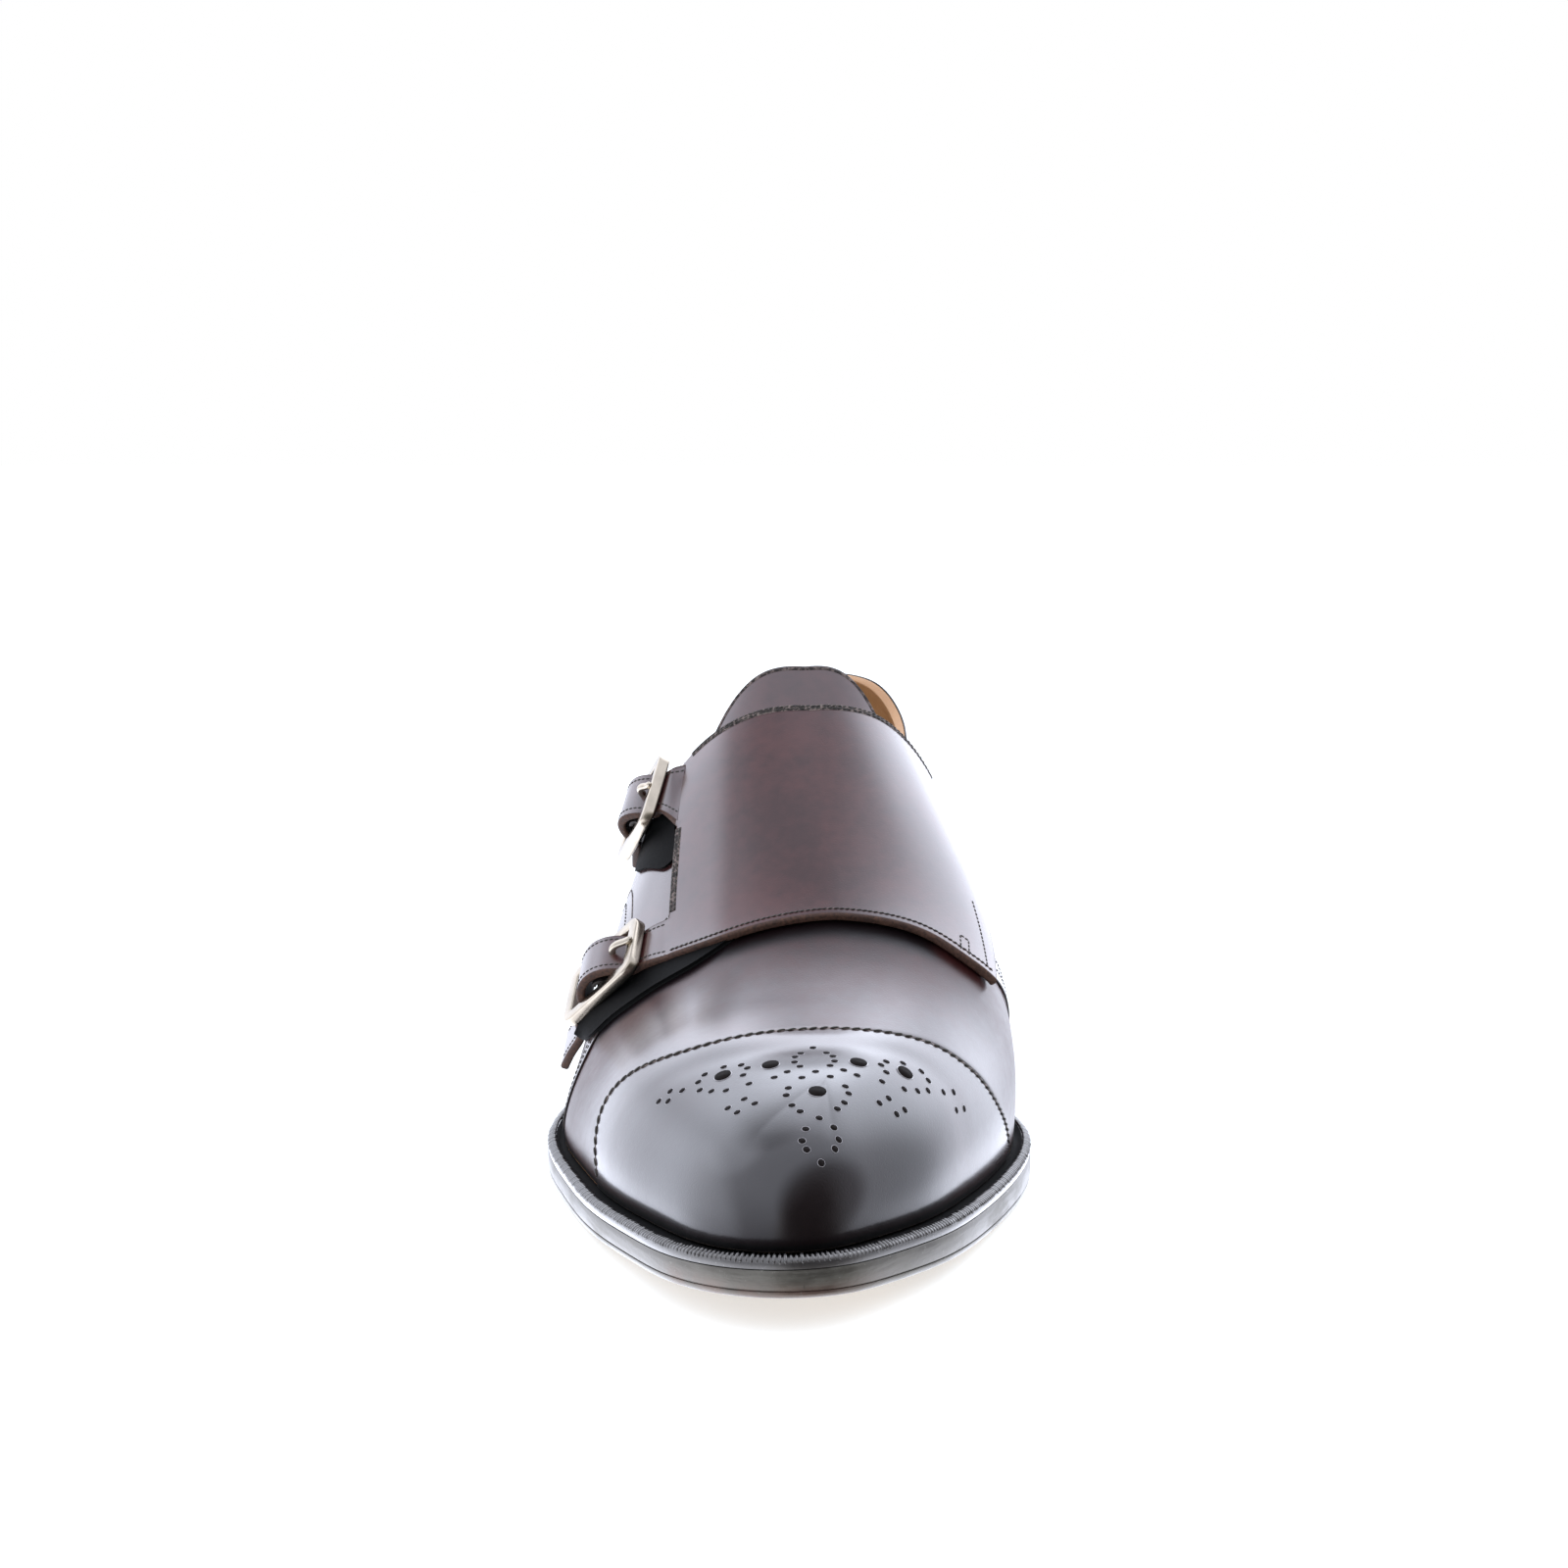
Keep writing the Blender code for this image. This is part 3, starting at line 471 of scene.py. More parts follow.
def from_world(points):
    """Points of the shoe's own frame as (x, along, z)."""
    return np.asarray(points, float) + [0, LENGTH / 2, 0]


def distances(points):
    """How far along a line each of its points lies."""
    return np.concatenate([[0], np.cumsum(np.linalg.norm(np.diff(points, axis=0), axis=1))])


def read_along(where, length, table):
    """The rows of a line's table at distances along it."""
    return np.stack([np.interp(where, length, table[:, i]) for i in range(3)], 1)


def unit(vectors):
    """Vectors of length 1."""
    vectors = np.asarray(vectors, float)
    return vectors / np.linalg.norm(vectors, axis=-1, keepdims=True)


def station_step(u, distance):
    """How much of a station number a distance along the shoe is."""
    return distance / (LENGTH * math.pi / 2 * np.sin(math.pi * np.clip(u, 0.05, 0.95)))


def relief(points):
    """Height of the soft creases at points of the leather."""
    height = np.zeros(len(points))
    for across, along, reach, width, turned, depth in CREASES_MM:
        angle = math.radians(turned)
        x = points[:, 0] / MM - across
        y = points[:, 1] / MM - along
        over = x * math.cos(angle) + y * math.sin(angle)
        beside = y * math.cos(angle) - x * math.sin(angle)
        height += depth * MM * np.exp(-((over / reach) ** 2) - (beside / width) ** 2)
    return height


def leather_point(u, side, rise, offset):
    """Point at a distance outside the last, with the creases worked in, and its outward normal."""
    u, rise = np.broadcast_arrays(np.asarray(u, float), np.asarray(rise, float))
    foot = last_point(u, side, rise)
    normal = last_normal(u, side, rise)
    raised_by = relief(foot.reshape(-1, 3)).reshape(u.shape) + offset
    return foot + normal * raised_by[..., None], normal


def even_rises(station_of, side, top, count):
    """Rises from 0 to the top that lie evenly along the wall. station_of gives the station for each rise."""
    dense = (1 - (1 - np.linspace(0, 1, 500)) ** 2) * top
    length = distances(last_point(station_of(dense), side, dense))
    return np.interp(np.linspace(0, length[-1], count + 1), length, dense)


def merged(points):
    """The different points of a list, and for each point of the list its number among them."""
    keys = np.round(np.asarray(points) / 2e-7).astype(np.int64)
    _, first, index = np.unique(keys, axis=0, return_index=True, return_inverse=True)
    return first, index.reshape(-1)


def lattice_quads(rows, columns_count, start=0, turned=False):
    """Quads of a grid of points stored row by row."""
    i, j = np.meshgrid(np.arange(rows - 1), np.arange(columns_count - 1), indexing="ij")
    a = (start + i * columns_count + j).ravel()
    quads = np.stack([a, a + 1, a + 1 + columns_count, a + columns_count], 1)
    return quads[:, ::-1] if turned else quads


def face_lists(quads):
    """Quads as plain lists of whole numbers."""
    return [[int(i) for i in quad] for quad in quads]


def cleaned(quads, index, look_of):
    """The quads over merged points, without repeated corners, and the finish numbers of those left."""
    faces, looks = [], []
    for quad, look in zip(index[np.asarray(quads)], np.broadcast_to(look_of, len(quads))):
        face = list(dict.fromkeys(int(corner) for corner in quad))
        if len(face) > 2:
            faces.append(face)
            looks.append(int(look))
    return faces, looks


def add_object(name, points, faces, looks, look_of=None, sharp=50):
    """A mesh object in the shoe's frame, with its finishes by name and the finish number of each face."""
    mesh = bpy.data.meshes.new(name)
    mesh.from_pydata(world(points).tolist(), [], [tuple(int(i) for i in face) for face in faces])
    for look in looks:
        mesh.materials.append(finish(look))
    if look_of is not None:
        mesh.polygons.foreach_set("material_index", np.asarray(look_of, np.int32))
    mesh.shade_smooth()
    mesh.set_sharp_from_angle(angle=math.radians(sharp))
    mesh.update()
    made = bpy.data.objects.new(name, mesh)
    bpy.context.scene.collection.objects.link(made)
    return made


def set_attribute(made, name, values):
    """A number for each point of a piece, which its finish reads."""
    layer = made.data.attributes.new(name, "FLOAT", "POINT")
    layer.data.foreach_set("value", np.asarray(values, np.float32))


def rim_section(corner, thickness):
    """Section of a cut edge from the face to the back: distance outwards, and height from the face."""
    bend = [(math.sin(t) - 1, math.cos(t) - 1) for t in np.linspace(0, math.pi / 2, 5)]
    face = [(corner * s, corner * h) for s, h in bend]
    return face + [(s, -thickness - h) for s, h in reversed(face)]


def panel(name, face, normals, faces, thickness, looks, corner=PANEL_CORNER):
    """A sheet of leather with a rounded cut edge. Its face, back and edge have a finish each."""
    face = np.asarray(face, float)
    normals = unit(normals)
    count = len(face)
    # A border edge is walked one way only, and its number along the border gives its row of the cut edge.
    directed = {(quad[i - 1], quad[i]) for quad in faces for i in range(len(quad))}
    border = [edge for edge in directed if edge[::-1] not in directed]
    following = dict(border)
    preceding = {b: a for a, b in border}
    rim = np.array(sorted(following))
    place = {int(corner_of): i for i, corner_of in enumerate(rim)}
    after = face[[following[int(i)] for i in rim]]
    before = face[[preceding[int(i)] for i in rim]]
    away = unit(np.cross(unit(after - before), normals[rim]))
    thickness = np.broadcast_to(thickness, (count,))[:, None]
    section = rim_section(corner, thickness[rim])
    rows = [face[rim] + away * s + normals[rim] * h for s, h in section]
    top = face.copy()
    top[rim] = rows[0]
    back = face - normals * thickness
    back[rim] = rows[-1]
    points = np.concatenate([top, back] + rows[1:-1])

    def number(row, vertex):
        if row == 0:
            return vertex
        if row == len(section) - 1:
            return count + vertex
        return 2 * count + (row - 1) * len(rim) + place[vertex]

    sides = [list(quad) for quad in faces]
    sides += [[corner_of + count for corner_of in reversed(quad)] for quad in faces]
    look_of = [0] * len(faces) + [1] * len(faces)
    for a, b in border:
        for row in range(len(section) - 1):
            sides.append([number(row, b), number(row, a), number(row + 1, a), number(row + 1, b)])
            look_of.append(2)
    made = add_object(name, points, sides, looks, look_of)
    parts = np.array_split(face, 16)
    gaps = [np.linalg.norm(part[:, None] - face[rim][None], axis=2).min(axis=1) for part in parts]
    near = np.clip(1 - np.concatenate(gaps) / RIM_REACH, 0, 1)
    set_attribute(made, "rim", np.concatenate([near, near, np.ones(len(points) - 2 * count)]))
    set_attribute(made, "above", points[:, 2] - sole_top(points[:, 1], points[:, 0]))
    return made


def baked(made):
    """Turns an object's modifiers into its mesh."""
    graph = bpy.context.evaluated_depsgraph_get()
    mesh = bpy.data.meshes.new_from_object(made.evaluated_get(graph))
    made.modifiers.clear()
    old = made.data
    made.data = mesh
    bpy.data.meshes.remove(old)
    mesh.name = made.name
    return made


# The Mix node's sockets for colours have the names of those for numbers, so they go by number.
MIX_SHARE, MIX_FIRST, MIX_SECOND, MIX_RESULT = 0, 6, 7, 2


class Value:
    """A value in a material's node tree. Arithmetic on it adds Math nodes."""

    def __init__(self, graph, socket):
        self.graph = graph
        self.socket = socket

    def math(self, operation, first, second):
        return self.graph.node("ShaderNodeMath", {0: first, 1: second}, operation=operation)

    def __add__(self, other):
        return self.math("ADD", self, other)

    def __sub__(self, other):
        return self.math("SUBTRACT", self, other)

    def __rsub__(self, other):
        return self.math("SUBTRACT", other, self)

    def __mul__(self, other):
        return self.math("MULTIPLY", self, other)

    def __truediv__(self, other):
        return self.math("DIVIDE", self, other)

    __radd__ = __add__
    __rmul__ = __mul__

    def over(self, low, high):
        """0 below one value, 1 above the other, and smooth between."""
        ends = {0: self, 1: low, 2: high}
        return self.graph.node("ShaderNodeMapRange", ends, interpolation_type="SMOOTHSTEP")


class Graph:
    """A node tree and the one way that nodes are added to it."""

    def __init__(self, tree):
        self.tree = tree

    def node(self, kind, inputs=None, output=0, **settings):
        """Adds a node with its settings and its inputs, and gives one of its outputs."""
        made = self.tree.nodes.new(kind)
        for name, value in settings.items():
            setattr(made, name, value)
        for key, value in (inputs or {}).items():
            if isinstance(value, Value):
                self.tree.links.new(value.socket, made.inputs[key])
            else:
                made.inputs[key].default_value = value
        return Value(self, made.outputs[output])

    def place(self):
        """The point on the piece, in the shoe's frame."""
        return self.node("ShaderNodeTexCoord", output="Object")

    def axes(self, vector):
        """The three parts of a vector."""
        split = self.node("ShaderNodeSeparateXYZ", {0: vector})
        outputs = split.socket.node.outputs
        return tuple(Value(self, outputs[i]) for i in range(3))

    def stretched(self, vector, scale):
        return self.node("ShaderNodeMapping", {"Vector": vector, "Scale": scale})

    def noise(self, vector, scale, detail=3.0, roughness=0.55):
        inputs = {"Vector": vector, "Scale": scale, "Detail": detail, "Roughness": roughness}
        return self.node("ShaderNodeTexNoise", inputs)

    def cells(self, vector, scale):
        return self.node("ShaderNodeTexVoronoi", {"Vector": vector, "Scale": scale})

    def mixed(self, share, first, second):
        """A colour between two others."""
        inputs = {MIX_SHARE: share, MIX_FIRST: colour(first), MIX_SECOND: colour(second)}
        return self.node("ShaderNodeMix", inputs, MIX_RESULT, data_type="RGBA")

    def attribute(self, name):
        return self.node("ShaderNodeAttribute", output="Fac", attribute_name=name)

    def bump(self, height, distance, strength=1.0, below=None):
        inputs = {"Strength": strength, "Distance": distance, "Height": height}
        if below is not None:
            inputs["Normal"] = below
        return self.node("ShaderNodeBump", inputs)


def colour(value):
    """A colour socket's value: a Value as it is, or red, green and blue with full cover."""
    return value if isinstance(value, Value) else (*tuple(value)[:3], 1)


def small_shape(graph, shape):
    """The geometry of one bead, disc or ring, one unit wide."""
    if shape == "bead":
        return graph.node("GeometryNodeMeshUVSphere", {"Segments": 8, "Rings": 5, "Radius": 0.5})
    if shape == "disc":
        return graph.node("GeometryNodeMeshCylinder", {"Vertices": 14, "Radius": 0.5, "Depth": 1.0})
    circle = "GeometryNodeCurvePrimitiveCircle"
    path = graph.node(circle, {"Resolution": 18, "Radius": 0.5})
    wire = graph.node(circle, {"Resolution": 6, "Radius": 0.055})
    return graph.node("GeometryNodeCurveToMesh", {"Curve": path, "Profile Curve": wire})


def pattern_tree(shape):
    """A node group that sets one small shape on every point, turned by the point's ahead and out vectors."""
    name = f"set_{shape}s"
    if name in bpy.data.node_groups:
        return bpy.data.node_groups[name]
    tree = bpy.data.node_groups.new(name, "GeometryNodeTree")
    sockets = tree.interface
    sockets.new_socket("Geometry", in_out="INPUT", socket_type="NodeSocketGeometry")
    for label in ("Length", "Width", "Height"):
        sockets.new_socket(label, in_out="INPUT", socket_type="NodeSocketFloat")
    sockets.new_socket("Finish", in_out="INPUT", socket_type="NodeSocketMaterial")
    sockets.new_socket("Geometry", in_out="OUTPUT", socket_type="NodeSocketGeometry")
    graph = Graph(tree)

    def attribute(kind, label):
        return graph.node("GeometryNodeInputNamedAttribute", {"Name": label}, data_type=kind)

    source = graph.node("NodeGroupInput").socket.node
    given = {socket.name: Value(graph, socket) for socket in source.outputs}
    lengths = {"X": given["Length"], "Y": given["Width"], "Z": given["Height"]}
    scale = graph.node("ShaderNodeCombineXYZ", lengths)
    sized = graph.node("GeometryNodeTransform", {"Geometry": small_shape(graph, shape), "Scale": scale})
    axes = {0: attribute("FLOAT_VECTOR", "out"), 1: attribute("FLOAT_VECTOR", "ahead")}
    turned = graph.node("FunctionNodeAxesToRotation", axes, primary_axis="Z", secondary_axis="X")
    placing = {
        "Points": given["Geometry"],
        "Instance": sized,
        "Rotation": turned,
        "Scale": attribute("FLOAT", "size"),
    }
    made = graph.node("GeometryNodeInstanceOnPoints", placing)
    made = graph.node("GeometryNodeRealizeInstances", {"Geometry": made})
    made = graph.node("GeometryNodeSetShadeSmooth", {"Geometry": made})
    made = graph.node("GeometryNodeSetMaterial", {"Geometry": made, "Material": given["Finish"]})
    tree.links.new(made.socket, tree.nodes.new("NodeGroupOutput").inputs["Geometry"])
    return tree


def pattern(name, shape, spots, size, look):
    """One small shape of a given size set on every spot. A spot has a point, ahead, out and size."""
    mesh = bpy.data.meshes.new(name)
    mesh.from_pydata(world(spots["point"]).tolist(), [], [])
    made = bpy.data.objects.new(name, mesh)
    bpy.context.scene.collection.objects.link(made)
    for label in ("ahead", "out"):
        layer = mesh.attributes.new(label, "FLOAT_VECTOR", "POINT")
        layer.data.foreach_set("vector", np.asarray(spots[label], np.float32).ravel())
    set_attribute(made, "size", spots["size"])
    modifier = made.modifiers.new("pattern", "NODES")
    tree = pattern_tree(shape)
    modifier.node_group = tree
    wanted = {"Length": size[0], "Width": size[1], "Height": size[2], "Finish": finish(look)}
    for item in tree.interface.items_tree:
        if item.in_out == "INPUT" and item.name in wanted:
            modifier[item.identifier] = wanted[item.name]
    return baked(made)


def spots_along(points, normals, pitch, slant=0.0, lift=0.0):
    """Evenly spaced spots on a line over the leather, each turned a little from the line's own direction."""
    points = np.asarray(points, float)
    length = distances(points)
    count = max(2, int(length[-1] / pitch))
    at = (np.arange(count) + 0.5) * length[-1] / count
    out = unit(read_along(at, length, np.asarray(normals, float)))
    ahead = unit(read_along(at + pitch / 4, length, points) - read_along(at - pitch / 4, length, points))
    ahead = ahead * math.cos(slant) + np.cross(out, ahead) * math.sin(slant)
    return {
        "point": read_along(at, length, points) + out * lift,
        "ahead": ahead,
        "out": out,
        "size": np.ones(count),
    }


def joined(*groups):
    """Several groups of spots as one."""
    return {key: np.concatenate([group[key] for group in groups]) for key in groups[0]}


class Finish(Graph):
    """A Principled material whose constants are set, and whose varying sockets are linked to values."""

    def __init__(self, name, fixed):
        self.made = bpy.data.materials.new(name)
        self.made.use_nodes = True
        super().__init__(self.made.node_tree)
        self.shader = self.tree.nodes["Principled BSDF"]
        for key, value in fixed.items():
            self.shader.inputs[key].default_value = value

    def link(self, **sockets):
        """Links values to sockets, whose names are written with underscores, and gives the material."""
        for key, value in sockets.items():
            self.tree.links.new(value.socket, self.shader.inputs[key.replace("_", " ")])
        return self.made


# How strongly the wax shines over each piece of leather, by its place in metres.
def vamp_polish(x, y, z):
    """The vamp shines towards the toe cap and high on its outer flank, and is dull below the flap."""
    middle = x.over(-0.016, 0.004) * x.over(0.044, 0.028)
    low = z.over(0.034, 0.020) * x.over(-0.010, -0.026)
    front = (y.over(-0.050, -0.086) * 0.80 + 0.16) * (1 - middle * 0.57) * (1 - low * 0.36)
    flank = x.over(-0.012, -0.026) * z.over(0.026, 0.036) * y.over(-0.044, -0.062)
    return front * (1 - flank) + flank * 0.9


def round_mask(along, centre, reach, across, middle, width):
    """How far out of a round patch a place lies, squared: 1 at its edge."""
    beside = (along - centre) / reach
    beyond = (across - middle) / width
    return beside * beside + beyond * beyond


def toe_polish(x, y, z):
    """The cap is polished, but dull in a patch low on its front and a streak behind the punched pattern."""
    patch = round_mask(x, 0.0075, 0.0085, z, 0.0235, 0.0075).over(1.35, 0.45) * y.over(-0.115, -0.130)
    streak = round_mask(x, 0.0050, 0.0130, y, -0.1045, 0.0062).over(1.5, 0.0)
    low = z.over(0.0215, 0.0165) * y.over(-0.125, -0.138)
    return (0.98 - patch * 0.88 - streak * 0.72) * (1 - low * 0.4)


def flap_polish(x, y, z):
    """The flap shines most on its two flanks."""
    outer = x.over(-0.0125, -0.0185) * 0.48 + x.over(-0.004, -0.016) * 0.12
    return outer + x.over(0.008, 0.027) * 0.55 + 0.27


def tongue_polish(x, y, z):
    """The tongue shines a little more to both sides of its middle."""
    return x.over(-0.004, -0.018) * 0.35 + x.over(0.010, 0.022) * 0.35 + 0.62


def quarter_polish(x, y, z):
    """The quarters shine evenly."""
    return z * 0.0 + 0.95


# The burgundy leathers: polish, share of the dye, strength and haze of the shine, and darkness at cut edges.
LEATHERS = {
    "leather": (vamp_polish, 0.7, 1.9, 0.24, 0.65),
    "toe_leather": (toe_polish, 0.5, 1.52, 0.15, 0.65),
    "flap_leather": (flap_polish, 1.05, 1.85, 0.22, 0.1),
    "tongue_leather": (tongue_polish, 1.0, 1.9, 0.2, 0.1),
    "quarter_leather": (quarter_polish, 1.0, 2.0, 0.2, 0.65),
}
NEARLY_BLACK = (0.002, 0.002, 0.002)


def leather_finish(sizes, polish, dyed, shine, haze, edge):
    """Burnished burgundy leather: mottled dye, a nearly black toe, dark edges, and a fine polished grain."""
    fixed = {"Coat IOR": shine, "Specular IOR Level": 0.25, "Coat Roughness": haze}
    graph = Finish("burgundy_leather", fixed)
    at = graph.place()
    x, y, z = graph.axes(at)
    cloud = graph.noise(at, 38.0, 4.0, 0.6)
    fine = graph.noise(at, 320.0, 3.0, 0.6)
    mottle = (cloud * 0.75 + fine * 0.25).over(0.36, 0.66)
    dark, light = ([dyed * part for part in shade[:3]] for shade in (sizes.leather_dark, sizes.leather_light))
    dye = graph.mixed(mottle, dark, light)
    toe = (y + graph.noise(at, 55.0, 2.0) * 0.012).over(-0.080, -0.112)
    burnished = graph.mixed(toe * sizes.toe_burnish, dye, (0.003, 0.002, 0.0025))
    rim = graph.attribute("rim").over(0.35, 0.95)
    edged = graph.mixed(rim * edge, burnished, (0.005, 0.003, 0.003))
    # Painted shadow along the flap's front edge and the lower tab's: the leather goes nearly black and loses
    # its shine.
    flap_shadow = graph.attribute("near_flap").over(0.0, 0.85) * x.over(0.036, 0.030)
    flap_shadowed = graph.mixed(flap_shadow * 0.93, edged, (0.0025, 0.0015, 0.002))
    # Painted shade at the foot of the wall, just above the welt: the leather goes nearly black and loses its
    # shine.
    foot = graph.attribute("above").over(0.0036, 0.0029)
    shaded = graph.mixed(foot * 0.9, flap_shadowed, NEARLY_BLACK)
    pores = graph.cells(graph.stretched(at, (1.0, 1.35, 1.0)), 1500.0).over(0.05, 0.5)
    wrinkle = graph.noise(graph.stretched(at, (1.5, 0.6, 1.0)), 700.0, 3.0, 0.6)
    grain = graph.bump(pores * 0.5 + wrinkle * 0.5, sizes.grain_depth, 0.5)
    waves = graph.bump(graph.noise(at, 55.0, 2.0), 0.00022, 0.3, below=grain)
    wax = (polish(x, y, z) * (fine * 0.1 + 0.95) - rim * 0.15) * (1 - foot * 0.96) * (1 - flap_shadow * 0.97)
    graph.link(Base_Color=shaded, Roughness=fine * 0.16 + 0.28, Normal=waves)
    return graph.link(Coat_Weight=wax)


def cut_edge_finish(sizes):
    """The raw brown cut edge of thick leather, with its fibres and traces of dark ink."""
    graph = Finish("cut_edge_leather", {"Specular IOR Level": 0.3})
    at = graph.place()
    fibre = graph.noise(at, 1400.0, 4.0, 0.7)
    ink = graph.noise(at, 160.0, 3.0).over(0.45, 0.7)
    brown = graph.mixed(fibre.over(0.3, 0.7), (0.030, 0.015, 0.010), (0.085, 0.042, 0.027))
    inked = graph.mixed(ink * 0.6, brown, (0.020, 0.012, 0.010))
    normal = graph.bump(fibre, 0.00012, 0.6)
    return graph.link(Base_Color=inked, Roughness=fibre * 0.25 + 0.55, Normal=normal)


def plain_finish(name, shine, noise, shows, colours, rough, bumps=None):
    """A finish of one noise, which goes from one colour to another, roughens it and may raise it."""
    graph = Finish(name, {"Specular IOR Level": shine})
    speck = graph.noise(graph.place(), *noise)
    shade = speck.over(*shows) if shows else speck
    if bumps:
        graph.link(Normal=graph.bump(speck, *bumps))
    return graph.link(Base_Color=graph.mixed(shade, *colours), Roughness=speck * rough[0] + rough[1])


def inked_edge_finish(sizes):
    """A cut edge inked nearly black."""
    inks = (0.016, 0.012, 0.010), (0.045, 0.032, 0.024)
    return plain_finish("inked_edge", 0.35, (420.0, 3.0, 0.6), (0.45, 0.75), inks, (0.3, 0.4), (0.00008, 0.5))


def lining_finish(sizes):
    """Tan lining leather: matt, slightly mottled, darker where it is handled."""
    graph = Finish("tan_lining", {"Specular IOR Level": 0.35})
    at = graph.place()
    cloud = graph.noise(at, 45.0, 4.0, 0.6)
    pores = graph.cells(at, 1200.0).over(0.05, 0.5)
    rim = graph.attribute("rim").over(0.2, 1.0)
    tan = graph.mixed(cloud.over(0.35, 0.65), (0.36, 0.185, 0.074), (0.46, 0.255, 0.112))
    handled = graph.mixed(rim * 0.3, tan, (0.26, 0.125, 0.050))
    graph.link(Base_Color=handled, Roughness=cloud * 0.2 + 0.45)
    return graph.link(Normal=graph.bump(pores, 0.00006, 0.4))


def seam_band_finish(sizes):
    """The dark waxed groove that a row of stitches lies in."""
    waxes = (0.014, 0.010, 0.008), (0.150, 0.115, 0.100)
    grit = (850.0, 3.0, 0.7)
    return plain_finish("stitched_groove", 0.2, grit, (0.44, 0.62), waxes, (0.2, 0.5), (0.0001, 0.6))


def valley_finish(sizes):
    """The black channel between the welt's notched rim and the upper, a little dusty."""
    dusts = (0.003, 0.003, 0.003), (0.019, 0.0155, 0.0135)
    return plain_finish("welt_channel", 0.08, (1300.0, 3.0, 0.7), (0.62, 0.75), dusts, (0.2, 0.6))


def thread_finish(sizes):
    """Waxed dark brown thread with its twist."""
    browns = (0.012, 0.011, 0.008), (0.046, 0.042, 0.032)
    return plain_finish("dark_thread", 0.3, (2500.0, 2.0), None, browns, (0.2, 0.5))


def hole_shade_finish(sizes):
    """Painted shade in a punched hole: a nearly black disc stands in for its shaded depth."""
    darks = (0.003, 0.003, 0.003), (0.012, 0.008, 0.007)
    return plain_finish("punched_hole_shade", 0.1, (1800.0, 2.0), None, darks, (0.2, 0.75))


def hole_rim_highlight_finish(sizes):
    """The lip of a punched hole, painted pale as its highlight, under a polished coat."""
    graph = Finish("punched_rim_highlight", {"Coat Weight": 1.0, "Coat IOR": 1.6})
    fibre = graph.noise(graph.place(), 1500.0, 2.0)
    pale = graph.mixed(fibre, (0.16, 0.145, 0.15), (0.30, 0.28, 0.285))
    return graph.link(Base_Color=pale, Roughness=fibre * 0.2 + 0.35)


def sole_edge_finish(sizes):
    """The waxed dark edge of the sole: charcoal, a little chalky, with fine scratches along it."""
    fixed = {"Specular IOR Level": 1.0, "Specular Tint": (1.0, 0.93, 0.80, 1.0)}
    graph = Finish("waxed_sole_edge", fixed)
    at = graph.place()
    x, y, z = graph.axes(at)
    cloud = graph.noise(at, 70.0, 4.0, 0.65)
    scratch = graph.noise(graph.stretched(at, (0.25, 0.25, 2.6)), 420.0, 3.0, 0.6)
    speck = graph.noise(at, 900.0, 3.0, 0.7)
    worn = (cloud * 0.6 + scratch * 0.4).over(0.40, 0.68)
    dull = graph.mixed(worn, sizes.edge_dark, sizes.edge_worn)
    low = z.over(0.0115, 0.0080) * y.over(-0.128, -0.142) * x.over(0.030, 0.0)
    tinted = graph.mixed(low * cloud.over(0.35, 0.6) * 0.65, dull, (0.075, 0.026, 0.018))
    nicks = graph.mixed(speck.over(0.64, 0.72) * 0.6, tinted, (0.16, 0.155, 0.14))
    pits = graph.mixed(graph.noise(at, 1300.0, 3.0, 0.7).over(0.62, 0.70) * 0.8, nicks, (0.006, 0.006, 0.005))
    normal = graph.bump(scratch * 0.6 + speck * 0.4, 0.00014, 0.6)
    return graph.link(Base_Color=pits, Roughness=worn * 0.18 + 0.28, Normal=normal)


def welt_finish(sizes):
    """The welt's blackened leather, polished on its raised parts."""
    fixed = {"Specular IOR Level": 1.0, "Specular Tint": (1.0, 0.96, 0.90, 1.0)}
    fixed |= {"Coat IOR": 1.85, "Coat Roughness": 0.2}
    graph = Finish("blackened_welt", fixed)
    at = graph.place()
    x = graph.axes(at)[0]
    rubbed = x.over(-0.012, -0.040) + x.over(0.022, 0.046)
    cloud = graph.noise(at, 120.0, 4.0, 0.65)
    speck = graph.noise(at, 1100.0, 3.0, 0.7)
    black = graph.mixed(cloud.over(0.4, 0.7), (0.008, 0.007, 0.008), (0.020, 0.018, 0.020))
    scuffed = graph.mixed(speck.over(0.62, 0.72) * 0.6, black, (0.16, 0.15, 0.15))
    normal = graph.bump(cloud * 0.4 + speck * 0.6, 0.00012, 0.5)
    graph.link(Base_Color=scuffed, Roughness=cloud * 0.2 + 0.24, Normal=normal)
    return graph.link(Coat_Weight=rubbed * 0.85 + 0.15)


def sole_leather_finish(sizes):
    """The under side of the leather sole: smooth brown, scuffed along the tread."""
    graph = Finish("sole_leather", {"Specular IOR Level": 0.4})
    at = graph.place()
    cloud = graph.noise(at, 30.0, 5.0, 0.6)
    scuff = graph.noise(graph.stretched(at, (2.0, 0.5, 1.0)), 220.0, 4.0, 0.7)
    brown = graph.mixed(cloud.over(0.35, 0.65), (0.20, 0.095, 0.045), (0.30, 0.160, 0.080))
    waist = graph.axes(at)[1].over(-0.01, 0.03)
    dyed = graph.mixed(waist * 0.85, brown, (0.022, 0.016, 0.014))
    worn = graph.mixed(scuff.over(0.58, 0.7) * 0.4, dyed, (0.34, 0.22, 0.13))
    return graph.link(Base_Color=worn, Roughness=scuff * 0.3 + 0.35, Normal=graph.bump(scuff, 0.00008, 0.4))


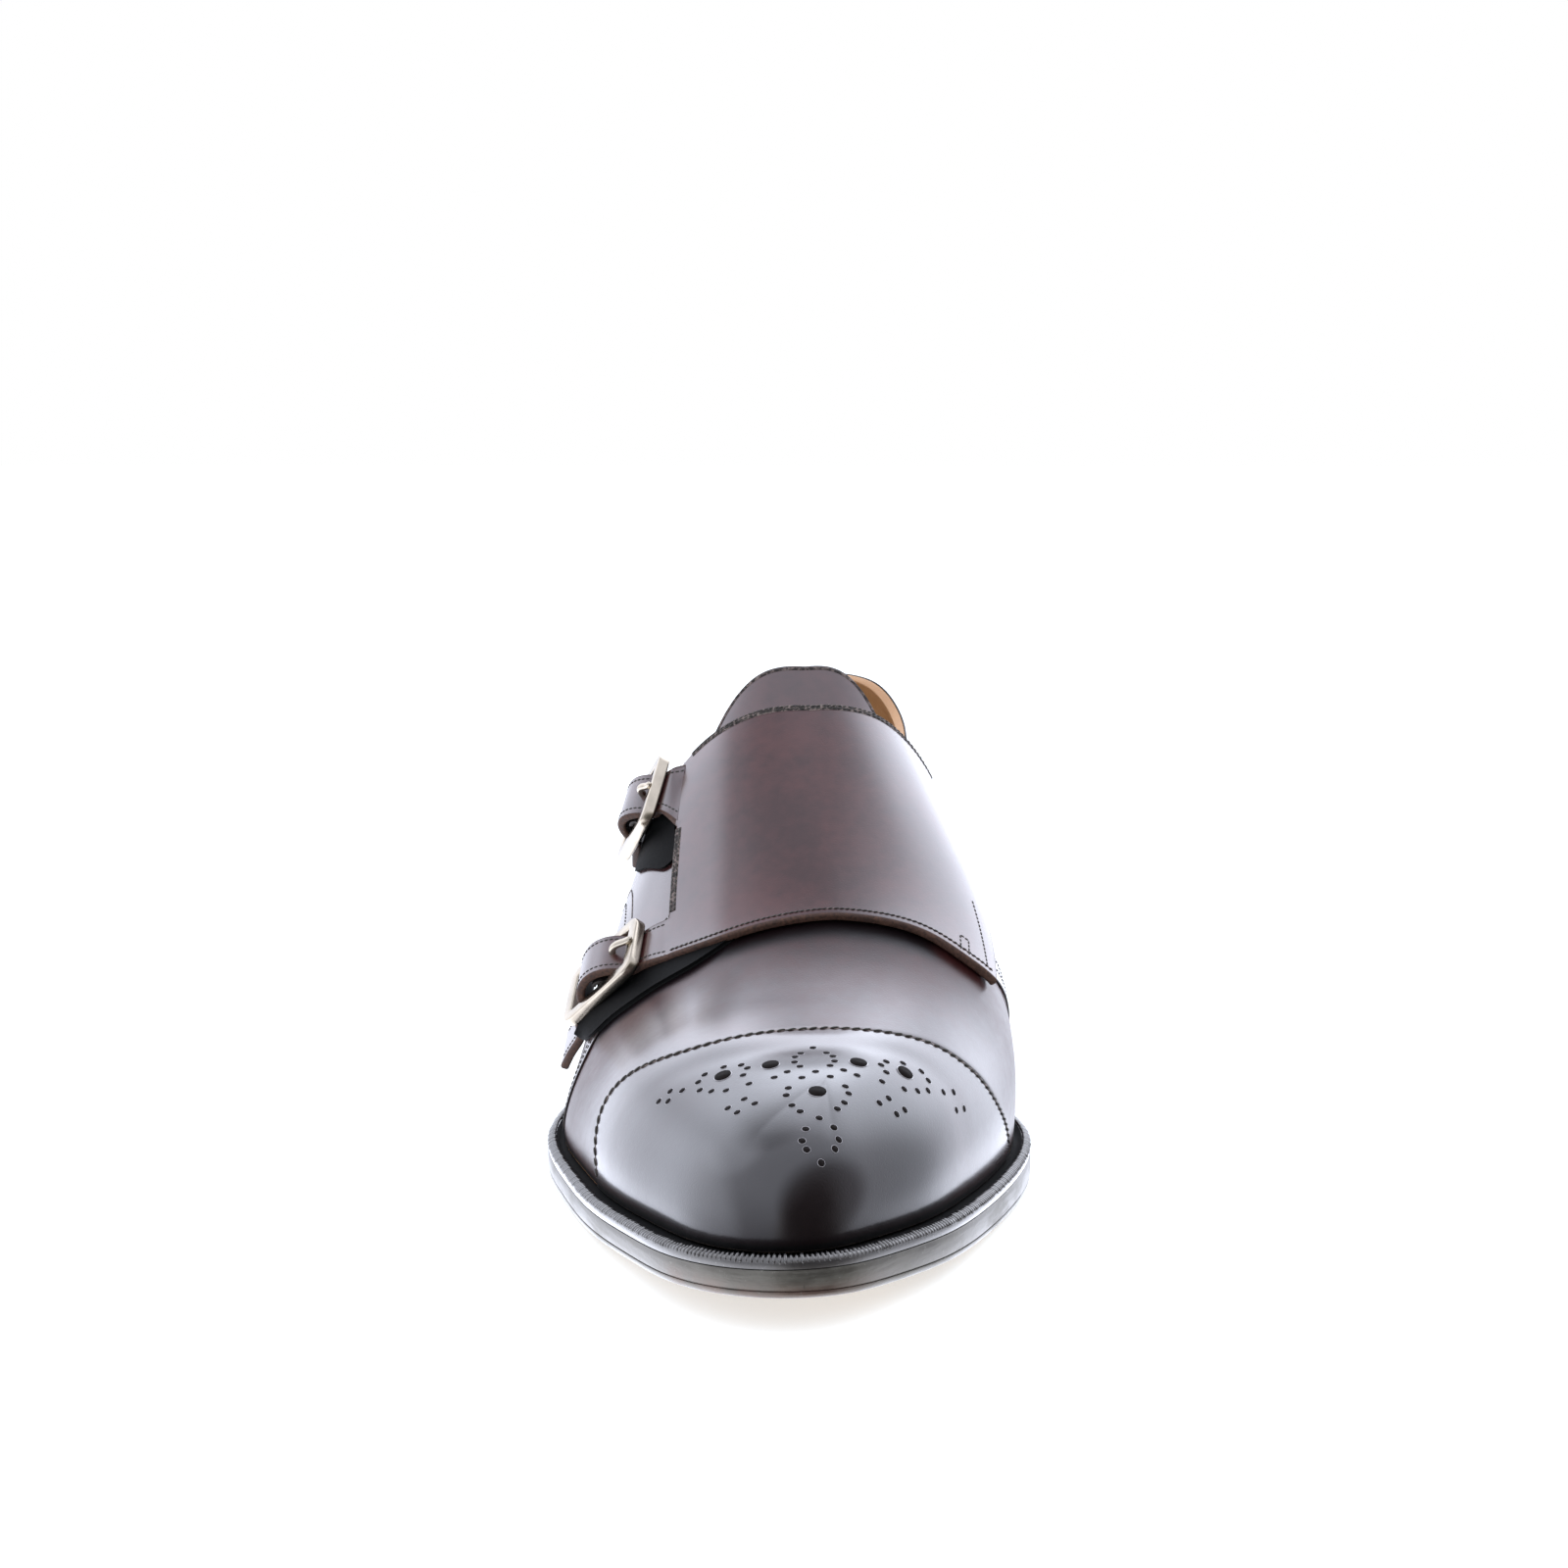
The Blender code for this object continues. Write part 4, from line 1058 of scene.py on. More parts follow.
def rubber_finish(sizes):
    """The black rubber of the heel's lift, a little dusty."""
    graph = Finish("heel_rubber", {"Specular IOR Level": 0.4})
    at = graph.place()
    speck = graph.noise(at, 900.0, 4.0, 0.7)
    dust = graph.noise(at, 60.0, 3.0)
    grey = graph.mixed(dust.over(0.4, 0.7), (0.012, 0.012, 0.012), (0.035, 0.033, 0.031))
    return graph.link(Base_Color=grey, Roughness=dust * 0.2 + 0.6, Normal=graph.bump(speck, 0.0001, 0.5))


def nickel_finish(sizes):
    """Pale plated buckle metal with fine rubbing marks."""
    graph = Finish("pale_nickel", {"Metallic": 1.0})
    at = graph.place()
    rub = graph.noise(graph.stretched(at, (1.0, 3.0, 1.0)), 600.0, 3.0, 0.6)
    haze = graph.noise(at, 140.0, 3.0)
    dull = tuple(0.78 * part for part in tuple(sizes.buckle_colour)[:3])
    plate = graph.mixed(haze.over(0.35, 0.7), sizes.buckle_colour, dull)
    return graph.link(Base_Color=plate, Roughness=rub * 0.14 + 0.16, Normal=graph.bump(rub, 0.00002, 0.4))


def strap_leather_finish(sizes):
    """The soft black leather of the loops that hold the buckles."""
    graph = Finish("black_leather", {"Specular IOR Level": 0.4})
    at = graph.place()
    pores = graph.cells(at, 1300.0).over(0.05, 0.5)
    cloud = graph.noise(at, 90.0, 3.0)
    black = graph.mixed(cloud, (0.010, 0.008, 0.008), (0.030, 0.022, 0.022))
    return graph.link(Base_Color=black, Roughness=cloud * 0.2 + 0.4, Normal=graph.bump(pores, 0.00008, 0.5))


OTHER_FINISHES = {
    "valley": valley_finish,
    "seam_band": seam_band_finish,
    "cut_edge": cut_edge_finish,
    "inked_edge": inked_edge_finish,
    "lining": lining_finish,
    "thread": thread_finish,
    "hole_rim_highlight": hole_rim_highlight_finish,
    "hole": hole_shade_finish,
    "sole_edge": sole_edge_finish,
    "welt": welt_finish,
    "sole_leather": sole_leather_finish,
    "rubber": rubber_finish,
    "nickel": nickel_finish,
    "strap_leather": strap_leather_finish,
}
FINISHES = {}


def finish(name):
    """A finish by its name, made once from the sidebar's colours."""
    if name not in FINISHES:
        sizes = bpy.context.scene.shoe_looks
        if name in LEATHERS:
            FINISHES[name] = leather_finish(sizes, *LEATHERS[name])
        else:
            FINISHES[name] = OTHER_FINISHES[name](sizes)
    return FINISHES[name]


def plan_pair(distance, count=SOLE_LINES, first=0.0):
    """Matched plan loops inside the outline, lateral and medial. The distance may vary by station."""
    u = np.linspace(first, 1, count + 1)
    inwards = distance(u) if callable(distance) else np.full_like(u, distance)
    return inset(u, LATERAL, inwards), inset(u, MEDIAL, inwards)


def level_points(pair, height):
    """The points of both loops, at the height that a function gives for each."""
    plan = np.concatenate(pair)
    return np.column_stack([plan, height(plan[:, 1], plan[:, 0]) + 0 * plan[:, 0]])


def wall_quads(low, high, count):
    """Quads between two matched loops, the second above the first, facing outwards."""
    i = np.arange(count - 1)
    lateral = np.stack([low + i + 1, low + i, high + i, high + i + 1], 1)
    a, b = low + count + i, high + count + i
    medial = np.stack([a, a + 1, b + 1, b], 1)
    return np.concatenate([lateral, medial])


def slab(name, rows, looks, first=0.0, count=SOLE_LINES):
    """A solid of stacked loops with closed ends. A row has its distance inwards, height and finish number."""
    half = count + 1
    size = 2 * half
    points = np.concatenate([level_points(plan_pair(d, count, first), height) for d, height, _ in rows])
    quads, look_of = [], []
    for level in range(len(rows) - 1):
        low, high = level * size, (level + 1) * size
        wall = wall_quads(low, high, half)
        ends = [
            (low, low + half, high + half, high),
            (low + size - 1, low + half - 1, high + half - 1, high + size - 1),
        ]
        quads.append(np.concatenate([wall, ends]))
        look_of += [rows[level][2]] * (len(wall) + 2)
    top = (len(rows) - 1) * size
    i = np.arange(half - 1)
    quads.append(np.stack([i, i + 1, half + i + 1, half + i], 1))
    quads.append(np.stack([top + i, top + half + i, top + half + i + 1, top + i + 1], 1))
    look_of += [rows[0][2]] * len(i) + [rows[-1][2]] * len(i)
    kept, index = merged(points)
    faces, numbers = cleaned(np.concatenate(quads), index, look_of)
    return add_object(name, points[kept], faces, looks, numbers, sharp=40)


def rider(made, slot_name, *nodes):
    """Hands a finished piece to the frame: it rides on the shoe and may stand for CAD nodes."""
    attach(made, "root")
    if nodes:
        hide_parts(*nodes)
    return made


# Section of the outsole's edge: distance inside the outline, and height above the bottom or below the top.
SOLE_EDGE_MM = (
    # inwards, above the bottom
    (2.4, 0.0),
    (1.4, 0.02),
    (0.80, 0.15),
    (0.45, 0.42),
    (0.26, 0.80),
    (0.16, 1.20),
    (0.20, 1.42),
    (0.42, 1.52),
    (0.42, 1.62),
    (0.14, 1.76),
    (0.05, 2.20),
)
SOLE_TOP_MM = (
    # inwards, below the top
    (0.0, 2.6),
    (0.0, 1.4),
    (0.06, 0.6),
    (0.22, 0.15),
    (0.55, 0.0),
    (2.0, 0.0),
)


def make_outsole():
    """The leather outsole, with a worn edge round its under side."""

    def over_bottom(height):
        return lambda along, x: sole_bottom(along) + height * MM

    def under_top(depth):
        return lambda along, x: sole_top(along, x) - depth * MM

    rows = [(inwards * MM, over_bottom(above), 0 if above > 0 else 1) for inwards, above in SOLE_EDGE_MM]
    rows += [(inwards * MM, under_top(below), 0) for inwards, below in SOLE_TOP_MM]
    looks = ["sole_edge", "sole_leather"]
    rider(slab("outsole_leather", rows, looks), "sole", "outsole")


# Section of the welt: distance inside the outline, height over the outsole, and finish up to the next row.
WELT_MM = (
    # inwards, height, finish
    (0.60, 0.02, 0),
    (0.24, 0.08, 0),
    (0.16, 0.40, 0),
    (0.18, 1.20, 0),
    (0.34, 1.80, 0),
    (0.70, 2.18, 0),
    (1.20, 2.32, 0),
    (1.90, 2.22, 1),
    (2.50, 1.70, 1),
    (3.30, 1.45, 1),
)
WELT_SEAT_MM = (
    # beyond the foot of the wall, height
    (0.0, 1.40),
    (1.6, 1.30),
    (2.3, 1.30),
    (2.3, 0.30),
)
# The welt's section stops this far in front of the wall's foot.
WELT_STOP_MM = 0.1

# The notches: distance inside the outline and over the outsole, slope in degrees, share of their pitch.
TOOTH_INWARDS = 0.95 * MM
TOOTH_OVER = 2.05 * MM
TOOTH_LEAN = 32
TOOTH_SHARE = 0.72


def make_welt():
    """The welt strip between the sole and the upper."""

    def above_sole(height):
        return lambda along, x: sole_top(along, x) + height * MM

    def up_to_wall(inwards):
        return lambda u: np.minimum(inwards, MARGIN(u) - WELT_STOP_MM) * MM

    def past_wall(beyond):
        return lambda u: (MARGIN(u) + beyond) * MM

    section = [(up_to_wall(inwards), above_sole(height), look) for inwards, height, look in WELT_MM]
    section += [(past_wall(beyond), above_sole(height), 1) for beyond, height in WELT_SEAT_MM]
    half = SOLE_LINES + 1
    size = 2 * half
    points = np.concatenate([level_points(plan_pair(d), height) for d, height, _ in section])
    kept, index = merged(points)
    faces, look_of = [], []
    for level, (_, _, look) in enumerate(section):
        ring = wall_quads(level * size, (level + 1) % len(section) * size, half)
        walls, numbers = cleaned(ring, index, look)
        faces += walls
        look_of += numbers
    strip = add_object("welt_strip", points[kept], faces, ["welt", "valley"], look_of)
    rider(strip, "sole", "welt")


def make_notches(sizes):
    """The notches of the welt's wheeled edge, each of a slightly different size."""
    teeth = []
    lean = math.radians(TOOTH_LEAN)
    for side in (LATERAL, MEDIAL):
        u = np.linspace(0, 1, 3000)
        plan = inset(u, side, np.full_like(u, TOOTH_INWARDS))
        inner = inset(u, side, np.full_like(u, TOOTH_INWARDS + 1.0 * MM))
        line = np.column_stack([plan, sole_top(plan[:, 1], plan[:, 0]) + TOOTH_OVER])
        spots = spots_along(line, np.tile([0.0, 0.0, 1.0], (len(u), 1)), sizes.tooth_pitch)
        length = distances(line)
        at = (np.arange(len(spots["point"])) + 0.5) * length[-1] / len(spots["point"])
        inward = unit(read_along(at, length, np.column_stack([inner - plan, 0 * u])))
        spots["ahead"] = inward * math.cos(lean) + spots["out"] * math.sin(lean)
        spots["out"] = spots["out"] * math.cos(lean) - inward * math.sin(lean)
        teeth.append(spots)
    teeth = joined(*teeth)
    wheel = np.random.default_rng(7)
    teeth["size"] = wheel.uniform(0.86, 1.14, len(teeth["point"]))
    size = (sizes.tooth_length, sizes.tooth_pitch * TOOTH_SHARE, sizes.tooth_height)
    rider(pattern("welt_notches", "bead", teeth, size, "welt"), "sole")


# The heel's lifts: their number, the groove between two, the rounding as a share of the stack, and the swell.
HEEL_LIFTS = 3
LIFT_GROOVE = 0.22 * MM
LIFT_ROUND = 0.02
LIFT_SWELL = 0.02 * MM
# Sections of the rubber lift and of the insole: distance inwards, and height.
TOP_PIECE_MM = ((0.5, 0.0), (0.15, 0.12), (0.0, 0.5), (0.0, 5.2), (0.12, 5.55), (0.4, 5.7))
INSOLE_MM = ((0.6, 0.0), (0.15, 0.2), (0.0, 0.8), (0.0, 3.2), (0.2, 3.65), (0.8, 3.8), (3.0, 3.8))


def make_heel():
    """The stacked leather lifts of the heel and the rubber lift that touches the floor."""
    breast = float(turn(BREAST))
    low_z = TOP_PIECE_HEIGHT + GAP

    def at_share(share):
        return lambda along, x: low_z + (sole_bottom(along) - GAP - low_z) * share

    rows = []
    for lift in range(HEEL_LIFTS):
        start, end = lift / HEEL_LIFTS, (lift + 1) / HEEL_LIFTS
        edge = (
            (start, LIFT_GROOVE),
            (start + LIFT_ROUND, 0),
            ((start + end) / 2, -LIFT_SWELL),
            (end - LIFT_ROUND, 0),
        )
        for share, depth in edge:
            taper = HEEL_TAPER + (EDGE_ROUND - HEEL_TAPER) * share
            rows.append((taper + depth, at_share(share), 0))
    rows.append((EDGE_ROUND + LIFT_GROOVE, at_share(1.0), 0))
    rider(slab("heel_lifts", rows, ["sole_edge"], breast, HEEL_LINES), "sole", "heel_stack")
    rows = []
    for extra, height in TOP_PIECE_MM:
        rows.append((HEEL_TAPER + extra * MM, lambda along, x, h=height: h * MM + 0 * along, 0))
    top_piece = slab("heel_tread", rows, ["rubber"], breast, HEEL_LINES)
    rider(top_piece, "top_piece", "heel_top_piece")


def make_insole():
    """The lined sock inside, under the foot."""
    rows = []
    for extra, height in INSOLE_MM:
        rows.append((
            lambda u, d=extra: MARGIN(u) * MM + WALL + 2 * GAP + d * MM,
            lambda along, x, h=height: sole_top(along, x) + GAP + h * MM,
            0,
        ))
    sock = slab("sock", rows, ["lining"])
    rider(sock, "lining", "insole")


def grid_normals(points, rows, columns_count):
    """Normals of a grid of points, facing outwards from the quads that lattice_quads makes."""
    grid = points.reshape(rows, columns_count, 3)
    return unit(np.cross(np.gradient(grid, axis=1), np.gradient(grid, axis=0))).reshape(-1, 3)


def mesh_normals(points, faces):
    """Normals of points, from the faces round each."""
    normals = np.zeros_like(points)
    for face in faces:
        corners = points[face]
        turned = np.cross(corners[2] - corners[0], corners[-1] - corners[1])
        for corner in face:
            normals[corner] += turned
    return unit(normals)


def cap_station(side, rise):
    """Station of the toe cap's end."""
    return turn(CAP_LINE[COLUMN[side]](rise) * MM)


# Behind the toe cap the upper's face comes up from below it: distance behind its end, and depth.
CAP_STEP_MM = ((0.25, 0.55), (0.45, 0.20), (0.70, 0.06), (1.00, 0.0))


def wall_lines():
    """The upper's grid lines: each gives a station for a side and a rise, and the depth of its face."""
    body = float(turn(SETTLED_ALONG))

    def behind_cap(side, rise, distance):
        return cap_station(side, rise) + station_step(cap_station(side, rise), distance)

    def settling(side, rise, share):
        start = behind_cap(side, rise, CAP_STEP_MM[-1][0] * MM)
        return start + (body - start) * share

    lines = []
    for k in range(CAP_LINES + 1):
        lines.append((lambda side, rise, k=k: cap_station(side, rise) * k / CAP_LINES, CAP_THICKNESS))
    for behind, depth in CAP_STEP_MM:
        lines.append((lambda side, rise, d=behind * MM: behind_cap(side, rise, d), depth * MM))
    for i in range(1, SETTLE_LINES + 1):
        lines.append((lambda side, rise, share=i / SETTLE_LINES: settling(side, rise, share), 0.0))
    for i in range(1, BODY_LINES + 1):
        lines.append((lambda side, rise, u=body + (1 - body) * i / BODY_LINES: u + 0 * rise, 0.0))
    return lines


def wall_grid(lines):
    """The upper's wall on the last: merged points, faces, and the grid line and the row of each point."""
    points, line_of, row_of, quads = [], [], [], []
    for side in (LATERAL, MEDIAL):
        start = len(line_of)
        for k, (station_of, _) in enumerate(lines):
            ridge = float(station_of(side, np.array(1.0)))
            along = float(along_of(ridge))
            top = 1.0
            if along >= THROAT:
                top = float(rise_at(np.array(ridge), side, TOPLINE[COLUMN[side]](along / MM) * MM))
            rise = even_rises(lambda r: station_of(side, r), side, top, WALL_LINES)
            at = last_point(station_of(side, rise), side, rise)
            points += [at[:1] - [0, 0, FOOT_DROP], at]
            line_of += [k] * (WALL_LINES + 2)
            row_of += list(range(WALL_LINES + 2))
        quads.append(lattice_quads(len(lines), WALL_LINES + 2, start, turned=side == MEDIAL))
    points = np.concatenate(points)
    kept, index = merged(points)
    faces, _ = cleaned(np.concatenate(quads), index, 0)
    return points[kept], faces, np.array(line_of)[kept], np.array(row_of)[kept]


def wall_face(lines):
    """The wall's face with its creases, its normals, its faces, and the grid line of each point."""
    points, faces, line_of, row_of = wall_grid(lines)
    normals = mesh_normals(points, faces)
    level = unit(normals * np.array([1, 1, 0]))
    normals = np.where((row_of <= 1)[:, None], level, normals)
    return points + normals * relief(points)[:, None], normals, faces, line_of


def make_upper():
    """The vamp with the whole wall behind it, thinner under the toe cap."""
    lines = wall_lines()
    face, normals, faces, line_of = wall_face(lines)
    depth = np.array([depth for _, depth in lines])[line_of]
    looks = ["leather", "lining", "lining"]
    shell = panel("upper_shell", face - normals * depth[:, None], normals, faces, WALL - depth, looks)
    shade_under_flap(shell)
    rider(shell, "leather", "upper")


def make_toe_cap():
    """The straight cap over the toe, which stands a little proud of the vamp."""
    lines = wall_lines()[: CAP_LINES + 1]
    edge_of = lines[-1][0]

    def trimmed(side, rise):
        return edge_of(side, rise) - station_step(edge_of(side, rise), CAP_TRIM)

    lines[-1] = (trimmed, 0.0)
    face, normals, faces, _ = wall_face(lines)
    looks = ["toe_leather", "strap_leather", "inked_edge"]
    face = face + normals * CAP_PROUD
    cap = panel("toe_cap_leather", face, normals, faces, CAP_PROUD + CAP_PANEL, looks, corner=0.3 * MM)
    rider(cap, "leather", "toe_cap")
    return cap


def flap_base(share, v):
    """The last under the flap: share 1 at its cut edge, -1 at its other end; v 0 in front, 1 on top."""
    share, v = np.broadcast_arrays(np.asarray(share, float), np.asarray(v, float))
    medial = share <= 0
    station = FLAP_EDGE_FRONT + (FLAP_EDGE_BACK - FLAP_EDGE_FRONT) * v
    rise = np.where(medial, 1 + share * (1 - FLAP_MEDIAL_END), 1 - share * (1 - FLAP_EDGE(station)))
    front = np.where(medial, FLAP_MEDIAL[0](rise), FLAP_LATERAL[0](rise))
    top = np.where(medial, FLAP_MEDIAL[1](rise), FLAP_LATERAL[1](rise))
    u = turn((front + (top - front) * v) * MM)
    return np.where(medial[..., None], last_point(u, MEDIAL, rise), last_point(u, LATERAL, rise))


def flap_shares():
    """Shares across the flap that are evenly spaced over the foot, from the medial end to the cut edge."""
    shares = []
    for sign, count in ((-1, FLAP_MEDIAL_LINES), (1, FLAP_LATERAL_LINES)):
        dense = sign * np.linspace(0, 1, 800) ** 2
        length = distances(flap_base(dense, np.full_like(dense, 0.4)))
        even = np.interp(np.linspace(0, length[-1], count + 1), length, dense)
        shares.append(even[::-1] if sign < 0 else even[1:])
    return np.concatenate(shares)


def buckle_frame(buckle):
    """Centre of the frame and its directions: along the strap, across it and outwards."""
    front = np.array(buckle["near_front"]) * MM
    back = np.array(buckle["near_back"]) * MM
    far = np.array(buckle["far_front"]) * MM
    across = unit(back - front)
    along = far - front
    along = unit(along - across * (along @ across))
    outward = np.cross(across, along)
    outward *= -np.sign(outward[0])
    centre = (front + back) / 2 + along * buckle["length"] / 2
    return centre, along, across, outward


def strap_grid(buckle, edge, knot_edge, knot_before):
    """The strap from the flap's cut edge through the buckle: under-side points and normals, row by row."""
    centre, along, across, outward = buckle_frame(buckle)
    half = buckle["length"] / 2
    knots = [knot_before, knot_edge]
    for share, height in STRAP_PATH_MM + buckle["tail"]:
        knots.append(centre + along * share * half + outward * height * MM)
    knots = np.array(knots)
    length = distances(knots)
    curves = [spline(length, knots[:, axis]) for axis in range(3)]
    edge_across = edge[-1] - edge[0]
    bow = edge - (edge[0] + np.linspace(0, 1, len(edge))[:, None] * edge_across)
    points, normals = [], []
    for t in range(1, STRAP_LINES + 1):
        at = length[1] + (length[-1] - length[1]) * t / STRAP_LINES
        middle = np.array([curve(at) for curve in curves])
        ahead = unit(np.array([curve(at + STEP) - curve(at - STEP) for curve in curves]))
        passed = min(1, (at - length[1]) / (length[2] - length[1]))
        side = edge_across * (1 - passed) + across * STRAP_WIDTH * passed
        normal = np.cross(unit(side), ahead)
        normal = unit(normal * np.sign(normal @ outward))
        share = np.linspace(-0.5, 0.5, len(edge))
        points.append(middle + side * share[:, None] + bow * max(0, 1 - 2 * passed))
        normals.append(np.tile(normal, (len(edge), 1)))
    return np.array(points), np.array(normals)


def flap_surface():
    """Under-side points and normals of the flap: a grid from the medial end to the cut edge, front to top."""
    shares = flap_shares()
    v = np.linspace(0, 1, FLAP_LINES + 1)
    base = flap_base(shares[:, None], v[None, :])
    normals = grid_normals(base.reshape(-1, 3), len(shares), len(v)).reshape(base.shape)
    return base + normals * FLAP_LIFT, normals


# A strap's curve starts this far across the flap's lateral part, with the normals of this line of points.
STRAP_ROOT = 6 / 7
STRAP_ROOT_COLUMN = -6


def flap_straps(under, normals):
    """Each strap's rows of the flap's grid, with its own grid of points and normals."""
    straps = {}
    per_row = FLAP_LINES // FLAP_ROWS
    for name, buckle in BUCKLES.items():
        first, last = buckle["rows"]
        rows = slice(first * per_row, last * per_row + 1)
        coarse = slice(first * per_row, last * per_row + 1, per_row)
        root = flap_base(np.array(STRAP_ROOT), np.linspace(0, 1, FLAP_LINES + 1)[coarse])
        knot_before = (root + normals[STRAP_ROOT_COLUMN, coarse] * FLAP_LIFT).mean(axis=0)
        knot_edge = under[-1, coarse].mean(axis=0)
        straps[name] = (rows, *strap_grid(buckle, under[-1, rows], knot_edge, knot_before))
    return straps


# Black leather under each strap, partly a real tab and partly a dark sheet for the shadow beneath the strap:
# its front edge's place along the shoe for each rise up the wall, its back edge's place, how far it stands
# off the last, and how much further its back does between two rises.
TAB_FRONTS = {
    "lower": (
        (0.22, 124.0),
        (0.26, 119.5),
        (0.34, 115.0),
        (0.42, 111.6),
        (0.50, 109.5),
        (0.59, 108.0),
        (0.70, 110.5),
    ),
    "upper": (
        (0.40, 154.0),
        (0.444, 150.4),
        (0.48, 147.4),
        (0.51, 144.8),
        (0.54, 142.6),
        (0.58, 142.2),
    ),
}
TAB_BACKS = {"lower": 125, "upper": 168}
TAB_THICKNESS = 1.2 * MM
TAB_LIFT = 1.3 * MM
TAB_BACK_LIFT = 2.4 * MM
TAB_BACK_RISES = (0.30, 0.42)

# A painted shadow lies on the leather up to the first distance from the flap's front edge, and fades out by
# the second. The line goes on a little behind the lower tab's front edge.
FLAP_SHADOW_REACH = (2.2 * MM, 7.5 * MM)
TAB_SHADOW_SHIFT = 2.0 * MM
TAB_SHADOW_RISES = (0.24, 0.70)


def shade_under_flap(made):
    """Mark the leather close to the flap's front edge, where a shadow is painted in its finish."""
    share = np.concatenate([-np.linspace(1, 0, 160) ** 2, np.linspace(0, 1, 120)[1:] ** 2])
    rises, places = np.array(TAB_FRONTS["lower"]).T
    rise = np.linspace(*TAB_SHADOW_RISES, 60)
    tab = last_point(turn(np.interp(rise, rises, places) * MM), LATERAL, rise) + [0, TAB_SHADOW_SHIFT, 0]
    edge = np.concatenate([flap_base(share, np.zeros(len(share))), tab])
    line = KDTree(len(edge))
    for i, point in enumerate(world(edge)):
        line.insert(Vector(point), i)
    line.balance()
    far = np.array([line.find(vertex.co)[2] for vertex in made.data.vertices])
    near = (FLAP_SHADOW_REACH[1] - far) / (FLAP_SHADOW_REACH[1] - FLAP_SHADOW_REACH[0])
    set_attribute(made, "near_flap", np.clip(near, 0, 1))


def make_flap():
    """The flap over the instep with both straps, cut from one thick piece of leather."""
    under, normals = flap_surface()
    straps = flap_straps(under, normals)
    columns_count, rows_count = under.shape[:2]
    points = [under.reshape(-1, 3)]
    outward = [normals.reshape(-1, 3)]
    quads = [lattice_quads(columns_count, rows_count)]
    edge_start = (columns_count - 1) * rows_count
    start = columns_count * rows_count
    for rows, strap, strap_normals in straps.values():
        cells = strap.shape[1]
        i = np.arange(cells - 1)
        a = edge_start + rows.start + i
        quads.append(np.stack([a, a + 1, start + i + 1, start + i], 1))
        quads.append(lattice_quads(STRAP_LINES, cells, start))
        points.append(strap.reshape(-1, 3))
        outward.append(strap_normals.reshape(-1, 3))
        start += STRAP_LINES * cells
    outward = unit(np.concatenate(outward))
    faces = face_lists(np.concatenate(quads))
    face = np.concatenate(points) + outward * FLAP_THICKNESS
    looks = ["flap_leather", "strap_leather", "cut_edge"]
    flap = panel("monk_flap_leather", face, outward, faces, FLAP_THICKNESS, looks, corner=0.65 * MM)
    rider(flap, "leather", "monk_flap")
    return flap


def tongue_point(v, w):
    """The last under the tongue, by v from its foot and w across it, and how far the tongue stands off."""
    tip = TONGUE_TIP - TONGUE_CORNER * np.abs(w) ** 3
    along = TONGUE_FOOT + (tip - TONGUE_FOOT) * v
    rise = 1 - np.abs(w) * TONGUE_HALF(along / MM)
    u = turn(along)
    base = np.where((w < 0)[..., None], last_point(u, LATERAL, rise), last_point(u, MEDIAL, rise))
    return base, TONGUE_OFFSET(along / MM) * MM


def outward_normal(surface, v, w):
    """Unit normal of a surface over v and w."""
    small = 1e-3
    over = surface(v, w + small) - surface(v, w - small)
    back = surface(v + small, w) - surface(v - small, w)
    return unit(np.cross(unit(over), unit(back)))


def tongue_face(v, w):
    """Point on the tongue's face."""
    base, offset = tongue_point(v, w)
    return base + outward_normal(lambda v, w: tongue_point(v, w)[0], v, w) * offset[..., None]


# The seam band along the tongue's edge: where it starts, its way round the tip and the sides, and its width.
BAND_START, BAND_TIP, BAND_SIDE = 0.5, 0.987, 0.965
BAND_WIDTH = 0.8 * MM


def make_tongue():
    """The tongue under the flap, with the dark band along its edge."""
    down, over = np.linspace(0, 1, TONGUE_LINES + 1), np.linspace(-1, 1, TONGUE_ACROSS + 1)
    v, w = np.meshgrid(down, over, indexing="ij")
    base, offset = tongue_point(v, w)
    rows, across = v.shape
    normals = grid_normals(base.reshape(-1, 3), rows, across)
    face = base.reshape(-1, 3) + normals * offset.reshape(-1, 1)
    normals = grid_normals(face, rows, across)
    faces = face_lists(lattice_quads(rows, across))
    looks = ["tongue_leather", "lining", "inked_edge"]
    tongue = panel("tongue_leather", face, normals, faces, TONGUE_THICKNESS, looks, corner=0.5 * MM)
    rider(tongue, "leather", "tongue")
    up = np.linspace(BAND_START, 0.985, 60)
    v = np.concatenate([up, np.full(80, BAND_TIP), up[::-1]])
    side = np.full(60, BAND_SIDE)
    w = np.concatenate([-side, np.linspace(-0.96, 0.96, 80), side])
    ribbon("tongue_edge_band", tongue_face(v, w), outward_normal(tongue_face, v, w), BAND_WIDTH)


def bar(name, path, section, looks, up, closed=False, scale=None):
    """A bar along a path, in a loop or with flat ends. Its section's points are (upwards, sideways)."""
    path = np.asarray(path)
    count = len(path)
    if closed:
        heading = unit(np.roll(path, -1, axis=0) - np.roll(path, 1, axis=0))
    else:
        heading = unit(np.gradient(path, axis=0))
    scale = np.ones(count) if scale is None else np.asarray(scale)
    first = unit(up - heading * (heading * up).sum(axis=1, keepdims=True))
    second = np.cross(heading, first)
    sides = len(section)
    points = []
    for i in range(count):
        for height, wide in section:
            points.append(path[i] + scale[i] * (first[i] * height + second[i] * wide))
    faces = []
    for i in range(count if closed else count - 1):
        here, there = i * sides, (i + 1) % count * sides
        for j in range(sides):
            after = (j + 1) % sides
            faces.append((here + j, here + after, there + after, there + j))
    if not closed:
        faces.append(tuple(reversed(range(sides))))
        faces.append(tuple(range((count - 1) * sides, count * sides)))
    return add_object(name, np.array(points), faces, looks)


